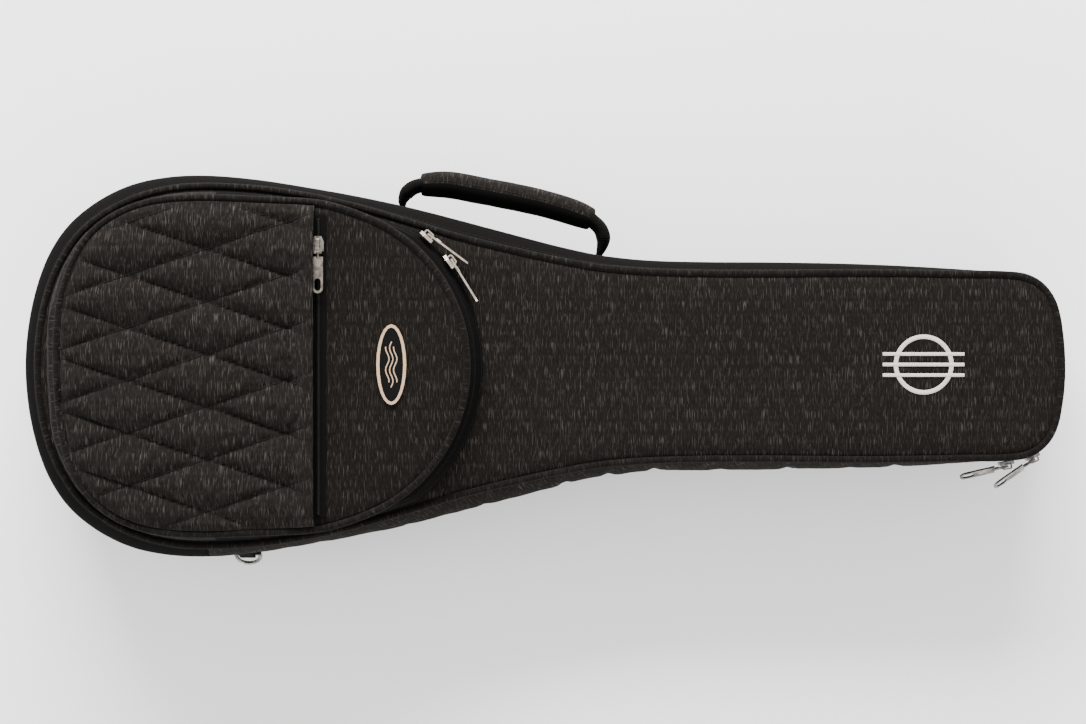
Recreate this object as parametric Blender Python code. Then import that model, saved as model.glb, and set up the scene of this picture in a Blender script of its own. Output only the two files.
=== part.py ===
"""A padded gig bag for a charango, lying on its back with its front up.

X runs from the bottom of the bag (-X) to its head end (+X), Y across it towards the carrying handle,
and Z up from the floor. The bag opens like a book: a zip runs round three sides, and the fourth side,
at -Y, is a fabric hinge. A zipped pocket stands on the lid, and a flat quilted pocket lies on that one.
"""

import math

import bmesh
import bpy
from mathutils import Matrix, Vector

MM = 0.001
GAP = 0.3 * MM  # left between neighbours, which are sewn or glued together on the real bag

# --- Driving dimensions -------------------------------------------------------------------------

BODY_DEPTH = 99 * MM  # from the floor to the front panel's face
POCKET_DEPTH = 21 * MM  # from the front panel's face to the pocket's face
SKIN = 1.5 * MM  # outer fabric with its backing
LINING = 1.0 * MM
FOAM = 12 * MM
TAPE = 1.2 * MM
PIPING_RADIUS = 2.4 * MM
ZIP_HEIGHT = 78 * MM  # where the two halves of the main zip meet
TAPE_WIDTH = 15 * MM
COIL_WIDTH = 2.4 * MM
COIL_DEPTH = 1.5 * MM
QUILT_DEPTH = 5 * MM

# Half outlines in millimetres, from the bottom of the bag to its head end. The other half mirrors them.
SIDE_HALF = [  # the widest line of the gusset, at the main zip
    (-350, 0), (-340, 61), (-319, 97), (-279, 122), (-229, 128.5), (-160, 120.5), (-98, 108.5), (-60, 99),
    (-15, 87), (33, 75.5), (75, 71), (147, 70), (206, 69), (285, 65), (322, 61), (334, 54.5), (343, 44),
    (348.5, 26), (350, 0),
]
PANEL_HALF = [  # the edge of the front and back panels
    (-335, 0), (-327, 52), (-306, 88), (-270, 110), (-229, 117), (-160, 111), (-98, 95.5), (-60, 84),
    (-15, 73), (33, 63.5), (75, 60), (147, 59), (206, 59.5), (285, 58.5), (318, 57), (329, 51.5), (336, 42),
    (340, 26), (342, 0),
]
POCKET_HALF = [  # the edge of the pocket's face, up to where its round end begins
    (-319, 0), (-317, 40), (-303, 77.5), (-285, 95), (-258, 106), (-220, 108), (-172, 105.5),
]
STEPS_PER_SPAN = 2
POCKET_ARC_CENTRE = Vector((-156 * MM, 0))
POCKET_ARC_RADIUS = 103 * MM
POCKET_ARC_FROM = 76  # degrees from +X where the round end joins the pocket's sides
POCKET_ARC_STEPS = 8  # from one side's join to the middle of the round end
POCKET_FLARE = 13 * MM  # how far the pocket's foot stands out beyond the edge of its face

HINGE_FROM_X = -224 * MM  # the main zip's ends, both on the -Y side
HINGE_TO_X = 277 * MM
FOLD_X = -217 * MM  # the line where the pocket's flap folds
QUILT_EDGE_X = -153 * MM

SLIDER_LENGTH, SLIDER_WIDTH, SLIDER_THICKNESS = 10 * MM, 7.5 * MM, 2.2 * MM
BAIL_HALF_LENGTH, BAIL_WIDTH, BAIL_THICKNESS = 3.5 * MM, 2.4 * MM, 0.9 * MM
BAIL_CLEAR = 2.4 * MM  # height of the gap under the bail
PULL_THICKNESS, PULL_LENGTH, TAB_WIDTH = 1.2 * MM, 32.5 * MM, 7 * MM
PIVOT_HEIGHT = SLIDER_THICKNESS + BAIL_CLEAR / 2

HANDLE_Z = 48 * MM
GRIP_RADIUS, LEG_RADIUS = 9.2 * MM, 5 * MM
GRIP_TAPER, GRIP_END_SHARE = 1 / 6, 0.72  # the share of the grip that narrows at each end, and how far
LEG_ROOT_SHARE = 0.35  # how far a leg is pinched where it is sewn down
GRIP_LINE = [(-84, 125), (-66, 124.5), (-46, 121), (-4, 112.5), (20, 105.5), (32, 101)]
LEG_LINES = {
    "handle_leg_bottom": [(-98, 112), (-95, 118.5), (-88.5, 123.5)],
    "handle_leg_head": [(38, 78), (41, 88), (36.5, 97)],
}
RING_X, RING_Z = -206 * MM, 31 * MM

# --- Materials ----------------------------------------------------------------------------------


def material(name, colour, roughness, metallic=0.0):
    made = bpy.data.materials.new(name)
    made.use_nodes = True
    shader = made.node_tree.nodes["Principled BSDF"]
    shader.inputs["Base Color"].default_value = (*colour, 1.0)
    shader.inputs["Roughness"].default_value = roughness
    shader.inputs["Metallic"].default_value = metallic
    return made


def make_materials():
    return {
        "melange": material("melange_fabric", (0.024, 0.020, 0.017), 0.9),
        "tape": material("zip_tape", (0.017, 0.015, 0.014), 0.7),
        "coil": material("zip_coil", (0.012, 0.011, 0.011), 0.4),
        "foam": material("foam", (0.10, 0.10, 0.10), 0.95),
        "lining": material("lining", (0.03, 0.03, 0.035), 0.85),
        "webbing": material("webbing", (0.012, 0.011, 0.010), 0.8),
        "metal": material("gunmetal", (0.35, 0.32, 0.29), 0.25, 1.0),
        "thread": material("emblem_thread", (0.55, 0.53, 0.48), 0.6),
        "badge": material("badge_rubber", (0.01, 0.01, 0.01), 0.5),
        "cream": material("badge_cream", (0.66, 0.50, 0.35), 0.5),
    }


# --- Outlines -----------------------------------------------------------------------------------


def mirrored(half):
    """A closed list of 2D points in metres, out along +Y and back along -Y."""
    there = [Vector((x * MM, y * MM)) for x, y in half]
    back = [Vector((p.x, -p.y)) for p in reversed(there[1:-1])]
    return there + back


def spline(points, steps):
    """A closed centripetal Catmull-Rom curve through points, with this many steps from each to the next."""
    count, curve = len(points), []
    for i in range(count):
        a, b, c, d = (points[(i + k) % count] for k in (-1, 0, 1, 2))
        t0 = 0.0
        t1 = t0 + math.sqrt((b - a).length)
        t2 = t1 + math.sqrt((c - b).length)
        t3 = t2 + math.sqrt((d - c).length)
        for step in range(steps):
            t = t1 + (t2 - t1) * step / steps
            ab = a.lerp(b, (t - t0) / (t1 - t0))
            bc = b.lerp(c, (t - t1) / (t2 - t1))
            cd = c.lerp(d, (t - t2) / (t3 - t2))
            abc = ab.lerp(bc, (t - t0) / (t2 - t0))
            bcd = bc.lerp(cd, (t - t1) / (t3 - t1))
            curve.append(abc.lerp(bcd, (t - t1) / (t2 - t1)))
    return curve


def outward(loop, i, closed=True):
    """The unit normal at point i, to the left of the way the loop runs."""
    last = len(loop) - 1
    before = loop[i - 1] if closed or i else loop[0]
    after = loop[(i + 1) % len(loop)] if closed or i < last else loop[last]
    along = (after - before).normalized()
    return Vector((-along.y, along.x))


def offset(loop, distance, closed=True):
    """The loop moved outwards by distance, or inwards if it is negative."""
    return [p + outward(loop, i, closed) * distance for i, p in enumerate(loop)]


def blended(first, second, share):
    return [a.lerp(b, share) for a, b in zip(first, second)]


def place_at(loop, x, side):
    """The fractional index where the loop crosses x on the side (1 or -1) of the X axis."""
    for i, a in enumerate(loop):
        b = loop[(i + 1) % len(loop)]
        if (a.y + b.y) * side > 0 and (a.x - x) * (b.x - x) <= 0 and a.x != b.x:
            return i + (x - a.x) / (b.x - a.x)
    raise ValueError("the loop doesn't cross that line")


def stretch(loop, start, end):
    """The open part of a loop from one fractional index to another, going forwards."""
    count = len(loop)
    if end <= start:
        end += count

    def at(place):
        i = math.floor(place)
        return loop[i % count].lerp(loop[(i + 1) % count], place - i)

    near = 0.15  # an end this close to a sample takes its place
    inner = [loop[i % count] for i in range(math.ceil(start + near), math.floor(end - near) + 1)]
    return [at(start), *inner, at(end)]


def clipped(loop, x, keep):
    """The closed loop cut at x, keeping the side below it (-1) or above it (1)."""
    kept = []
    for i, a in enumerate(loop):
        b = loop[(i + 1) % len(loop)]
        if (a.x - x) * keep >= 0:
            kept.append(a)
        if (a.x - x) * (b.x - x) < 0:
            kept.append(a.lerp(b, (x - a.x) / (b.x - a.x)))
    return kept


def pocket_outline():
    """The edge of the pocket's face: a spline along the sides and a true arc at the round end."""
    arc = []
    for step in range(2 * POCKET_ARC_STEPS + 1):
        angle = math.radians(POCKET_ARC_FROM * (1 - step / POCKET_ARC_STEPS))
        arc.append(POCKET_ARC_CENTRE + POCKET_ARC_RADIUS * Vector((math.cos(angle), math.sin(angle))))
    half = [Vector((x * MM, y * MM)) for x, y in POCKET_HALF]
    back = [Vector((p.x, -p.y)) for p in reversed(half[1:])]
    curve = spline([*half, arc[0], arc[-1], *back], STEPS_PER_SPAN)
    joined = len(half) * STEPS_PER_SPAN
    return curve[:joined] + arc + curve[joined + STEPS_PER_SPAN + 1 :]


def room_to(loop, point):
    """The distance from a point to the nearest segment of a loop."""
    least = math.inf
    for i, a in enumerate(loop):
        b = loop[(i + 1) % len(loop)]
        share = max(0.0, min(1.0, (point - a).dot(b - a) / (b - a).length_squared))
        least = min(least, (point - a.lerp(b, share)).length)
    return least


def pocket_foot(face_edge, panel_edge):
    """Where the pocket's walls meet the front panel: flared out, but inside the panel's edge."""
    foot = []
    for i, p in enumerate(face_edge):
        flare = min(POCKET_FLARE, room_to(panel_edge, p) - 1 * MM)
        foot.append(p + outward(face_edge, i) * flare)
    return foot


# --- Solids -------------------------------------------------------------------------------------


def add(collection, name, data, surface):
    obj = bpy.data.objects.new(name, data)
    data.materials.append(surface)
    collection.objects.link(obj)
    return obj


def plate(collection, name, loops, low, thickness, surface):
    """A flat piece with these 2D outlines, the first the outer edge and the others holes."""
    curve = bpy.data.curves.new(name, "CURVE")
    curve.dimensions = "2D"
    curve.fill_mode = "BOTH"
    curve.extrude = thickness / 2
    for loop in loops:
        line = curve.splines.new("POLY")
        line.points.add(len(loop) - 1)
        line.use_cyclic_u = True
        for point, p in zip(line.points, loop):
            point.co = (p.x, p.y, 0, 1)
    obj = add(collection, name, curve, surface)
    obj.location.z = low + thickness / 2
    return obj


def wall(collection, name, sections, thickness, surface, closed=True):
    """A standing wall lofted through sections of (z, 2D points of the outer face), bottom to top."""
    mesh = bmesh.new()
    outer, inner = [], []
    for z, loop in sections:
        outer.append([mesh.verts.new((p.x, p.y, z)) for p in loop])
        inner.append([mesh.verts.new((p.x, p.y, z)) for p in offset(loop, -thickness, closed)])
    count = len(outer[0])
    levels = len(sections)
    for i in range(count if closed else count - 1):
        j = (i + 1) % count
        for low in range(levels - 1):
            mesh.faces.new((outer[low][j], outer[low][i], outer[low + 1][i], outer[low + 1][j]))
            mesh.faces.new((inner[low][i], inner[low][j], inner[low + 1][j], inner[low + 1][i]))
        mesh.faces.new((outer[0][i], outer[0][j], inner[0][j], inner[0][i]))
        mesh.faces.new((outer[-1][j], outer[-1][i], inner[-1][i], inner[-1][j]))
    if not closed:
        for low in range(levels - 1):
            for end in (0, count - 1):
                corners = (outer[low][end], inner[low][end], inner[low + 1][end], outer[low + 1][end])
                mesh.faces.new(corners if end == 0 else tuple(reversed(corners)))
    bmesh.ops.recalc_face_normals(mesh, faces=mesh.faces)
    data = bpy.data.meshes.new(name)
    mesh.to_mesh(data)
    mesh.free()
    return add(collection, name, data, surface)


def tube(collection, name, points, radius, surface, closed=False, resolution=1, radii=None):
    """A round cord, strap or wire along 3D points."""
    curve = bpy.data.curves.new(name, "CURVE")
    curve.dimensions = "3D"
    curve.bevel_depth = radius
    curve.bevel_resolution = resolution
    curve.use_fill_caps = not closed
    line = curve.splines.new("POLY")
    line.points.add(len(points) - 1)
    line.use_cyclic_u = closed
    for i, (point, p) in enumerate(zip(line.points, points)):
        point.co = (*p, 1)
        point.radius = radii[i] if radii else 1.0
    return add(collection, name, curve, surface)


def level(loop, z):
    return [Vector((p.x, p.y, z)) for p in loop]


def as_mesh(collection, obj, name):
    """A welded mesh object in place of a curve object."""
    graph = bpy.context.evaluated_depsgraph_get()
    data = bpy.data.meshes.new_from_object(obj.evaluated_get(graph))
    mesh = bmesh.new()
    mesh.from_mesh(data)
    bmesh.ops.remove_doubles(mesh, verts=mesh.verts, dist=0.001 * MM)
    mesh.to_mesh(data)
    mesh.free()
    made = bpy.data.objects.new(name, data)
    made.matrix_world = obj.matrix_world.copy()
    collection.objects.link(made)
    bpy.data.objects.remove(obj)
    return made


def joined(collection, name, pieces):
    """One mesh, in world coordinates, from overlapping mesh objects, which are left as hidden helpers."""
    first, *others = pieces
    for piece in pieces:
        piece.hide_render = True
        piece.display_type = "WIRE"
    for other in others:
        union = first.modifiers.new("join", "BOOLEAN")
        union.operation = "UNION"
        union.object = other
    bpy.context.view_layer.update()
    graph = bpy.context.evaluated_depsgraph_get()
    data = bpy.data.meshes.new_from_object(first.evaluated_get(graph))
    data.name = name
    data.transform(first.matrix_world)
    return data


# --- The bag's shell ----------------------------------------------------------------------------


class Outlines:
    """The loops that the bag's pieces share. Loops of one group keep the same point order."""

    def __init__(self):
        self.side = spline(mirrored(SIDE_HALF), STEPS_PER_SPAN)
        self.panel = spline(mirrored(PANEL_HALF), STEPS_PER_SPAN)
        self.seam = offset(self.panel, PIPING_RADIUS + GAP)
        self.zip_ends = (
            place_at(self.side, HINGE_FROM_X, -1),
            place_at(self.side, HINGE_TO_X, -1),
        )
        self.pocket = pocket_outline()
        self.pocket_seam = offset(self.pocket, PIPING_RADIUS + GAP)
        self.foot = pocket_foot(self.pocket, self.panel)
        self.fold_ends = (place_at(self.pocket, FOLD_X, 1), place_at(self.pocket, FOLD_X, -1))

    def gusset(self, bulge):
        """The gusset's outer face at a height: 0 is the seam with a panel, 1 the widest line."""
        return blended(self.seam, self.side, bulge)

    def hinge_line(self):
        """Two points of the straight line that touches the bag's -Y side at the lower bout and at the head."""
        lower_bout = [p for p in self.side if p.y < 0 and p.x < 0]
        head = [p for p in self.side if p.y < 0 and p.x > 0]
        best = None
        for a in lower_bout:
            for b in head:
                way = (b - a).normalized()
                beyond = min((p - a).x * -way.y + (p - a).y * way.x for p in lower_bout + head)
                if beyond > -1e-9:
                    best = (a, b)
        return best


BULGES = {"bottom": 0.0, "low": 0.75, "high": 0.95, "tape": 1.0, "zip": 1.0, "top": 0.0}
GUSSET_TOP = ZIP_HEIGHT - GAP - TAPE_WIDTH
SEAM_HEIGHT = 2 * PIPING_RADIUS + 2 * GAP  # how far the piping keeps a wall from the panel's face


def make_base(collection, lines, surfaces):
    panel, seam = lines.panel, lines.seam
    cloth, foam, lining = surfaces["melange"], surfaces["foam"], surfaces["lining"]
    inner_face = SKIN + GAP + FOAM + GAP
    plate(collection, "back_panel", [panel], 0, SKIN, cloth)
    back_foam = offset(seam, -inner_face)
    plate(collection, "back_foam", [back_foam], SKIN + GAP, FOAM, foam)
    lining_low = SKIN + 2 * GAP + FOAM
    floor = offset(seam, -inner_face - LINING - GAP)
    plate(collection, "back_lining", [floor], lining_low, LINING, lining)
    piping = level(seam, PIPING_RADIUS + GAP)
    tube(collection, "back_piping", piping, PIPING_RADIUS, cloth, closed=True)
    gusset = [
        (SEAM_HEIGHT, lines.gusset(BULGES["bottom"])),
        (BODY_DEPTH * 0.3, lines.gusset(BULGES["low"])),
        (BODY_DEPTH * 0.55, lines.gusset(BULGES["high"])),
        (GUSSET_TOP - GAP, lines.gusset(BULGES["tape"])),
    ]
    wall(collection, "side_gusset", gusset, TAPE, cloth)
    foam_top = ZIP_HEIGHT - COIL_WIDTH - 2 * GAP
    foam_face = offset(seam, -SKIN - GAP)
    foam_edge = offset(seam, -SKIN - GAP - FOAM)
    plate(collection, "side_foam", [foam_face, foam_edge], SEAM_HEIGHT, foam_top - SEAM_HEIGHT, foam)
    lining_face = offset(seam, -inner_face)
    lining_edge = offset(seam, -inner_face - LINING)
    lining_rise = lining_low + LINING + GAP
    plate(collection, "side_lining", [lining_face, lining_edge], lining_rise, foam_top - lining_rise, lining)


def zip_half(collection, lines, surfaces, suffix, low, high):
    """One half of the main zip: its tape with its coil behind the free edge, and the hinge's gusset."""
    first_end, last_end = lines.zip_ends
    sections = [(z, lines.gusset(bulge)) for z, bulge in (low, high)]

    def part(first, last):
        return [(z, stretch(loop, first, last)) for z, loop in sections]

    ends_gap, coil_setback = 0.02, 0.1  # in steps along the loop, from the ends of the zip
    wall(collection, "main_zip_tape_" + suffix, part(first_end + ends_gap, last_end - ends_gap), TAPE,
         surfaces["tape"], closed=False)
    wall(collection, "hinge_gusset_" + suffix, part(last_end, first_end), TAPE, surfaces["melange"],
         closed=False)
    edge_z = ZIP_HEIGHT + (GAP / 2 if suffix == "upper" else -COIL_WIDTH - GAP / 2)
    coil_face = offset(lines.gusset(BULGES["zip"] - 0.1), -TAPE - 4 * GAP)
    coil_line = stretch(coil_face, first_end + coil_setback, last_end - coil_setback)
    coil = [(edge_z + rise, coil_line) for rise in (0, COIL_WIDTH)]
    wall(collection, "main_zip_coil_" + suffix, coil, COIL_DEPTH, surfaces["coil"], closed=False)


def make_lid(collection, lines, surfaces):
    cloth = surfaces["melange"]
    plate(collection, "front_panel", [lines.panel], BODY_DEPTH - SKIN, SKIN, cloth)
    foam_low = BODY_DEPTH - SKIN - GAP - FOAM
    inside = offset(lines.panel, -GAP)
    plate(collection, "front_foam", [inside], foam_low, FOAM, surfaces["foam"])
    plate(collection, "front_lining", [inside], foam_low - GAP - LINING, LINING, surfaces["lining"])
    piping = level(lines.seam, BODY_DEPTH - PIPING_RADIUS)
    tube(collection, "front_piping", piping, PIPING_RADIUS, cloth, closed=True)


# --- The pockets --------------------------------------------------------------------------------

POCKET_FACE = BODY_DEPTH + POCKET_DEPTH
POCKET_ZIP_HEIGHT = BODY_DEPTH + 0.5 * POCKET_DEPTH
POCKET_ZIP_SHARE = 0.3  # how far in from the foot to the upper seam the pocket's zip is
POCKET_WALL_LOW = BODY_DEPTH + GAP
POCKET_WALL_HIGH = POCKET_FACE - SEAM_HEIGHT
QUILT_LOW = POCKET_FACE + GAP
FOLD_Z = QUILT_LOW + QUILT_DEPTH


def pocket_walls(collection, lines, surfaces):
    """The plain end of the pocket's gusset on the lid, and the zip's lower and upper tapes."""
    zip_line = blended(lines.foot, lines.pocket_seam, POCKET_ZIP_SHARE)
    top, bottom = lines.fold_ends
    ends_gap, coil_setback = 0.03, 0.2  # in steps along the loop, from the fold
    tape_ends = (top + ends_gap, bottom - ends_gap)
    lower, upper = POCKET_ZIP_HEIGHT - GAP / 2, POCKET_ZIP_HEIGHT + GAP / 2
    foot, middle, seam = lines.foot, zip_line, lines.pocket_seam
    levels = {
        "pocket_gusset_end": [(POCKET_WALL_LOW, foot), (POCKET_ZIP_HEIGHT, middle), (POCKET_WALL_HIGH, seam)],
        "pocket_zip_tape_lower": [(POCKET_WALL_LOW, foot), (lower, middle)],
        "pocket_zip_tape_upper": [(upper, middle), (POCKET_WALL_HIGH, seam)],
    }
    for name, sections in levels.items():
        first, last = (bottom + ends_gap, top - ends_gap) if name == "pocket_gusset_end" else tape_ends
        cloth = surfaces["melange" if name == "pocket_gusset_end" else "tape"]
        parts = [(z, stretch(loop, first, last)) for z, loop in sections]
        wall(collection, name, parts, TAPE, cloth, closed=False)
    coil_face = stretch(offset(zip_line, -TAPE - 5 * GAP), top + coil_setback, bottom - coil_setback)
    for name, low, lean in (("lower", lower - COIL_WIDTH, 0.0), ("upper", upper, 1.4 * COIL_WIDTH)):
        coil = [(low, coil_face), (low + COIL_WIDTH, offset(coil_face, -lean, closed=False))]
        wall(collection, "pocket_zip_coil_" + name, coil, COIL_DEPTH, surfaces["coil"], closed=False)


def pocket_faces(collection, lines, surfaces):
    """The pocket's face, its piping and the quilted panel on it, each split at the fold."""
    cloth = surfaces["melange"]
    quilt = offset(lines.pocket, -1.5 * MM)
    top, bottom = lines.fold_ends
    piping_z = POCKET_FACE - PIPING_RADIUS
    for name, keep, first, last in (("end", -1, bottom, top), ("flap", 1, top, bottom)):
        cut = FOLD_X + keep * GAP / 2
        plate(collection, "pocket_face_" + name, [clipped(lines.pocket, cut, keep)],
              POCKET_FACE - SKIN, SKIN, cloth)
        half_gap = 0.02
        line = stretch(lines.pocket_seam, first + half_gap, last - half_gap)
        tube(collection, "pocket_piping_" + name, level(line, piping_z), PIPING_RADIUS, cloth)
        quilted = clipped(quilt, cut, keep)
        if keep > 0:
            quilted = clipped(quilted, QUILT_EDGE_X, -1)
        plate(collection, "quilted_panel_" + name, [quilted], QUILT_LOW, QUILT_DEPTH, cloth)


SLIP_TAPE_WIDTH = 9 * MM
SLIP_ZIP_REACH = 100 * MM  # from the bag's middle to each end of the flat pocket's zip
SLIP_TAPE_TOP = POCKET_FACE + GAP + TAPE
SLIP_COIL_RISE = 0.8 * MM


def rectangle(low_x, high_x, low_y, high_y):
    return [Vector(p) for p in ((low_x, low_y), (low_x, high_y), (high_x, high_y), (high_x, low_y))]


def slip_zip(collection, surfaces):
    """The straight zip along the quilted panel's free edge."""
    low = QUILT_EDGE_X + GAP
    tape = rectangle(low, low + SLIP_TAPE_WIDTH, -SLIP_ZIP_REACH, SLIP_ZIP_REACH)
    plate(collection, "slip_zip_tape", [tape], POCKET_FACE + GAP, TAPE, surfaces["tape"])
    middle = low + SLIP_TAPE_WIDTH / 2
    reach = SLIP_ZIP_REACH - 3 * MM
    coil = rectangle(middle - COIL_WIDTH / 2, middle + COIL_WIDTH / 2, -reach, reach)
    plate(collection, "slip_zip_coil", [coil], SLIP_TAPE_TOP + GAP, SLIP_COIL_RISE, surfaces["coil"])
    return middle


# --- Sliders and their pulls --------------------------------------------------------------------


def slider_mesh(helpers, surface):
    """A slider lying on the XY plane, running along X, with its bail arching over the middle."""
    nose, half = SLIDER_LENGTH / 2, SLIDER_WIDTH / 2
    outline = [(-nose, -0.6 * half), (-nose, 0.6 * half), (-0.3 * nose, half), (nose, half), (nose, -half),
               (-0.3 * nose, -half)]
    body = plate(helpers, "slider_body", [[Vector(p) for p in outline]], 0, SLIDER_THICKNESS, surface)
    body = as_mesh(helpers, body, "slider_plate")
    foot_low = -0.5 * SLIDER_THICKNESS
    rise = BAIL_CLEAR + BAIL_THICKNESS
    length, inside = BAIL_HALF_LENGTH, BAIL_HALF_LENGTH - BAIL_THICKNESS
    arch = [(-length, foot_low), (-length, rise - 1 * MM), (-length + 1 * MM, rise), (length - 1 * MM, rise),
            (length, rise - 1 * MM), (length, foot_low), (inside, foot_low), (inside, BAIL_CLEAR),
            (-inside, BAIL_CLEAR), (-inside, foot_low)]
    bail = plate(helpers, "bail_arch", [[Vector(p) for p in arch]], -BAIL_WIDTH / 2, BAIL_WIDTH, surface)
    bail.rotation_euler.x = math.pi / 2
    bail.location = (0, 0, SLIDER_THICKNESS)
    bpy.context.view_layer.update()
    bail = as_mesh(helpers, bail, "slider_bail")
    return joined(helpers, "slider", [body, bail])


def rounded_bar(start, end, half_width, steps):
    """A bar along X whose far end is a half circle."""
    points = [Vector((start, half_width))]
    for step in range(steps + 1):
        angle = math.pi / 2 - math.pi * step / steps
        points.append(Vector((end - half_width, 0)) + half_width * Vector((math.cos(angle), math.sin(angle))))
    return [*points, Vector((start, -half_width))]


def slot(centre_x, half_length, half_width, steps):
    """A hole with two half-round ends, along X."""
    points = []
    for turn in (1, -1):
        for step in range(steps + 1):
            angle = math.pi / 2 - math.pi * step / steps
            bend = Vector((math.cos(angle), math.sin(angle)))
            edge = Vector((half_length - half_width, 0)) + half_width * bend
            points.append(Vector((centre_x, 0)) + turn * edge)
    return points


def pull_mesh(helpers, name, roll, surface):
    """A pull along +X from its pivot at the origin. Its tab is rolled about X from the eye's plane."""
    eye_half, bar = 2.7 * MM, 0.7 * MM
    eye_end = 6.5 * MM
    eye = rectangle(-bar, eye_end, -eye_half, eye_half)
    hole = rectangle(bar, 4.6 * MM, -eye_half + bar, eye_half - bar)
    frame = plate(helpers, "pull_eye", [eye, hole], -PULL_THICKNESS / 2, PULL_THICKNESS, surface)
    frame = as_mesh(helpers, frame, name + "_eye")
    neck = tube(helpers, "pull_neck", [Vector((5.6 * MM, 0, 0)), Vector((9.5 * MM, 0, 0))], 1.1 * MM, surface,
                resolution=2)
    neck = as_mesh(helpers, neck, name + "_neck")
    tab_start = 8.5 * MM
    hole_half = 4.2 * MM
    outline = rounded_bar(tab_start, PULL_LENGTH, TAB_WIDTH / 2, 6)
    eyelet = slot(PULL_LENGTH - hole_half - 1.6 * MM, hole_half, 2.1 * MM, 4)
    tab = plate(helpers, "pull_tab", [outline, eyelet], -PULL_THICKNESS / 2, PULL_THICKNESS, surface)
    tab.rotation_euler.x = roll
    tab.location.z = 0
    bpy.context.view_layer.update()
    tab = as_mesh(helpers, tab, name + "_tab")
    return joined(helpers, name, [frame, neck, tab])


def frame_matrix(origin, travel, normal):
    """The placing of a slider: X along its travel, Z out of the tape."""
    x, z = travel.normalized(), normal.normalized()
    y = z.cross(x)
    return Matrix.Translation(origin) @ Matrix((x, y, z)).transposed().to_4x4()


def carry(piece, carrier):
    """The piece stays where it is, and moves with its carrier."""
    bpy.context.view_layer.update()
    piece.parent = carrier
    piece.matrix_parent_inverse = carrier.matrix_world.inverted()


def add_zip_hardware(collection, meshes, name, place, swing, kind):
    """A slider at its place, and on it its pull, turned by swing degrees up from the tape about the pivot."""
    slider = bpy.data.objects.new(name + "_slider", meshes["slider"])
    collection.objects.link(slider)
    slider.matrix_world = place
    pull = bpy.data.objects.new(name + "_pull", meshes[kind])
    collection.objects.link(pull)
    turn = Matrix.Rotation(-math.radians(swing), 4, "Y")
    pull.matrix_world = place @ Matrix.Translation((0, 0, PIVOT_HEIGHT)) @ turn
    carry(pull, slider)
    return slider


MAIN_SLIDER_X = {"main_first": 311 * MM, "main_second": 328 * MM}  # both on the -Y side of the head
POCKET_SLIDER_ANGLES = {"pocket_first": 47.5, "pocket_second": 36.5}
SLIDER_STAND = 1.6 * MM  # between the face of a tape and the slider on it
REST_SWING = {"main_first": 4, "main_second": 12, "pocket_first": 6, "pocket_second": -5, "slip": 0}
SLIP_SLIDER_Y = 80 * MM


def tape_frame(loop, place, z):
    """Where the loop's outer face is at a fractional index: a point just off it, its way and its normal."""
    i = math.floor(place)
    a, b = loop[i % len(loop)], loop[(i + 1) % len(loop)]
    along = (b - a).normalized()
    normal = Vector((-(b - a).y, (b - a).x)).normalized()
    point = a.lerp(b, place - i) + normal * SLIDER_STAND
    return frame_matrix(Vector((*point, z)), Vector((*along, 0)), Vector((*normal, 0)))


def zip_hardware(collection, helpers, lines, surfaces, slip_x):
    metal = surfaces["metal"]
    meshes = {
        "slider": slider_mesh(helpers, metal),
        "flat": pull_mesh(helpers, "pull_flat", 0.0, metal),
        "rolled": pull_mesh(helpers, "pull_rolled", math.radians(35), metal),
    }
    for data in meshes.values():
        data.materials.clear()
        data.materials.append(metal)
    edge = lines.gusset(BULGES["zip"])
    made = {}
    for name, x in MAIN_SLIDER_X.items():
        place = tape_frame(edge, place_at(edge, x, -1), ZIP_HEIGHT)
        made[name] = add_zip_hardware(collection, meshes, name, place, REST_SWING[name], "rolled")
    reach = POCKET_ARC_RADIUS + POCKET_FLARE * (1 - POCKET_ZIP_SHARE) + (PIPING_RADIUS + GAP) * POCKET_ZIP_SHARE
    for name, degrees in POCKET_SLIDER_ANGLES.items():
        angle = math.radians(degrees)
        radial = Vector((math.cos(angle), math.sin(angle), 0))
        travel = Vector((math.sin(angle), -math.cos(angle), 0))
        centre = Vector((*POCKET_ARC_CENTRE, POCKET_ZIP_HEIGHT))
        place = frame_matrix(centre + radial * (reach + SLIDER_STAND), travel, radial)
        made[name] = add_zip_hardware(collection, meshes, name, place, REST_SWING[name], "flat")
    top = Vector((slip_x, SLIP_SLIDER_Y, SLIP_TAPE_TOP + SLIP_COIL_RISE + 2 * GAP))
    place = frame_matrix(top, Vector((0, -1, 0)), Vector((0, 0, 1)))
    made["slip"] = add_zip_hardware(collection, meshes, "slip", place, REST_SWING["slip"], "flat")
    return made


# --- Handle, ring and marks ---------------------------------------------------------------------


def smooth_line(points, z, steps):
    """3D points on a smooth open curve through 2D points given in millimetres."""
    flat = [Vector((x * MM, y * MM)) for x, y in points]
    before = flat[0] * 2 - flat[1]
    after = flat[-1] * 2 - flat[-2]
    curve = spline([before, *flat, after], steps)[steps : steps * len(flat) + 1]
    return level(curve, z)


def make_handle(collection, surfaces):
    grip = smooth_line(GRIP_LINE, HANDLE_Z, 2)
    last = len(grip) - 1
    taper = GRIP_TAPER * last
    shares = [min(1.0, min(i, last - i) / taper) for i in range(last + 1)]
    radii = [GRIP_END_SHARE + (1 - GRIP_END_SHARE) * share for share in shares]
    tube(collection, "handle_grip", grip, GRIP_RADIUS, surfaces["melange"], resolution=2, radii=radii)
    for name, points in LEG_LINES.items():
        leg = smooth_line(points, HANDLE_Z, 2)
        pinched = [LEG_ROOT_SHARE, *([1.0] * (len(leg) - 1))]
        tube(collection, name, leg, LEG_RADIUS, surfaces["webbing"], resolution=2, radii=pinched)


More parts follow.
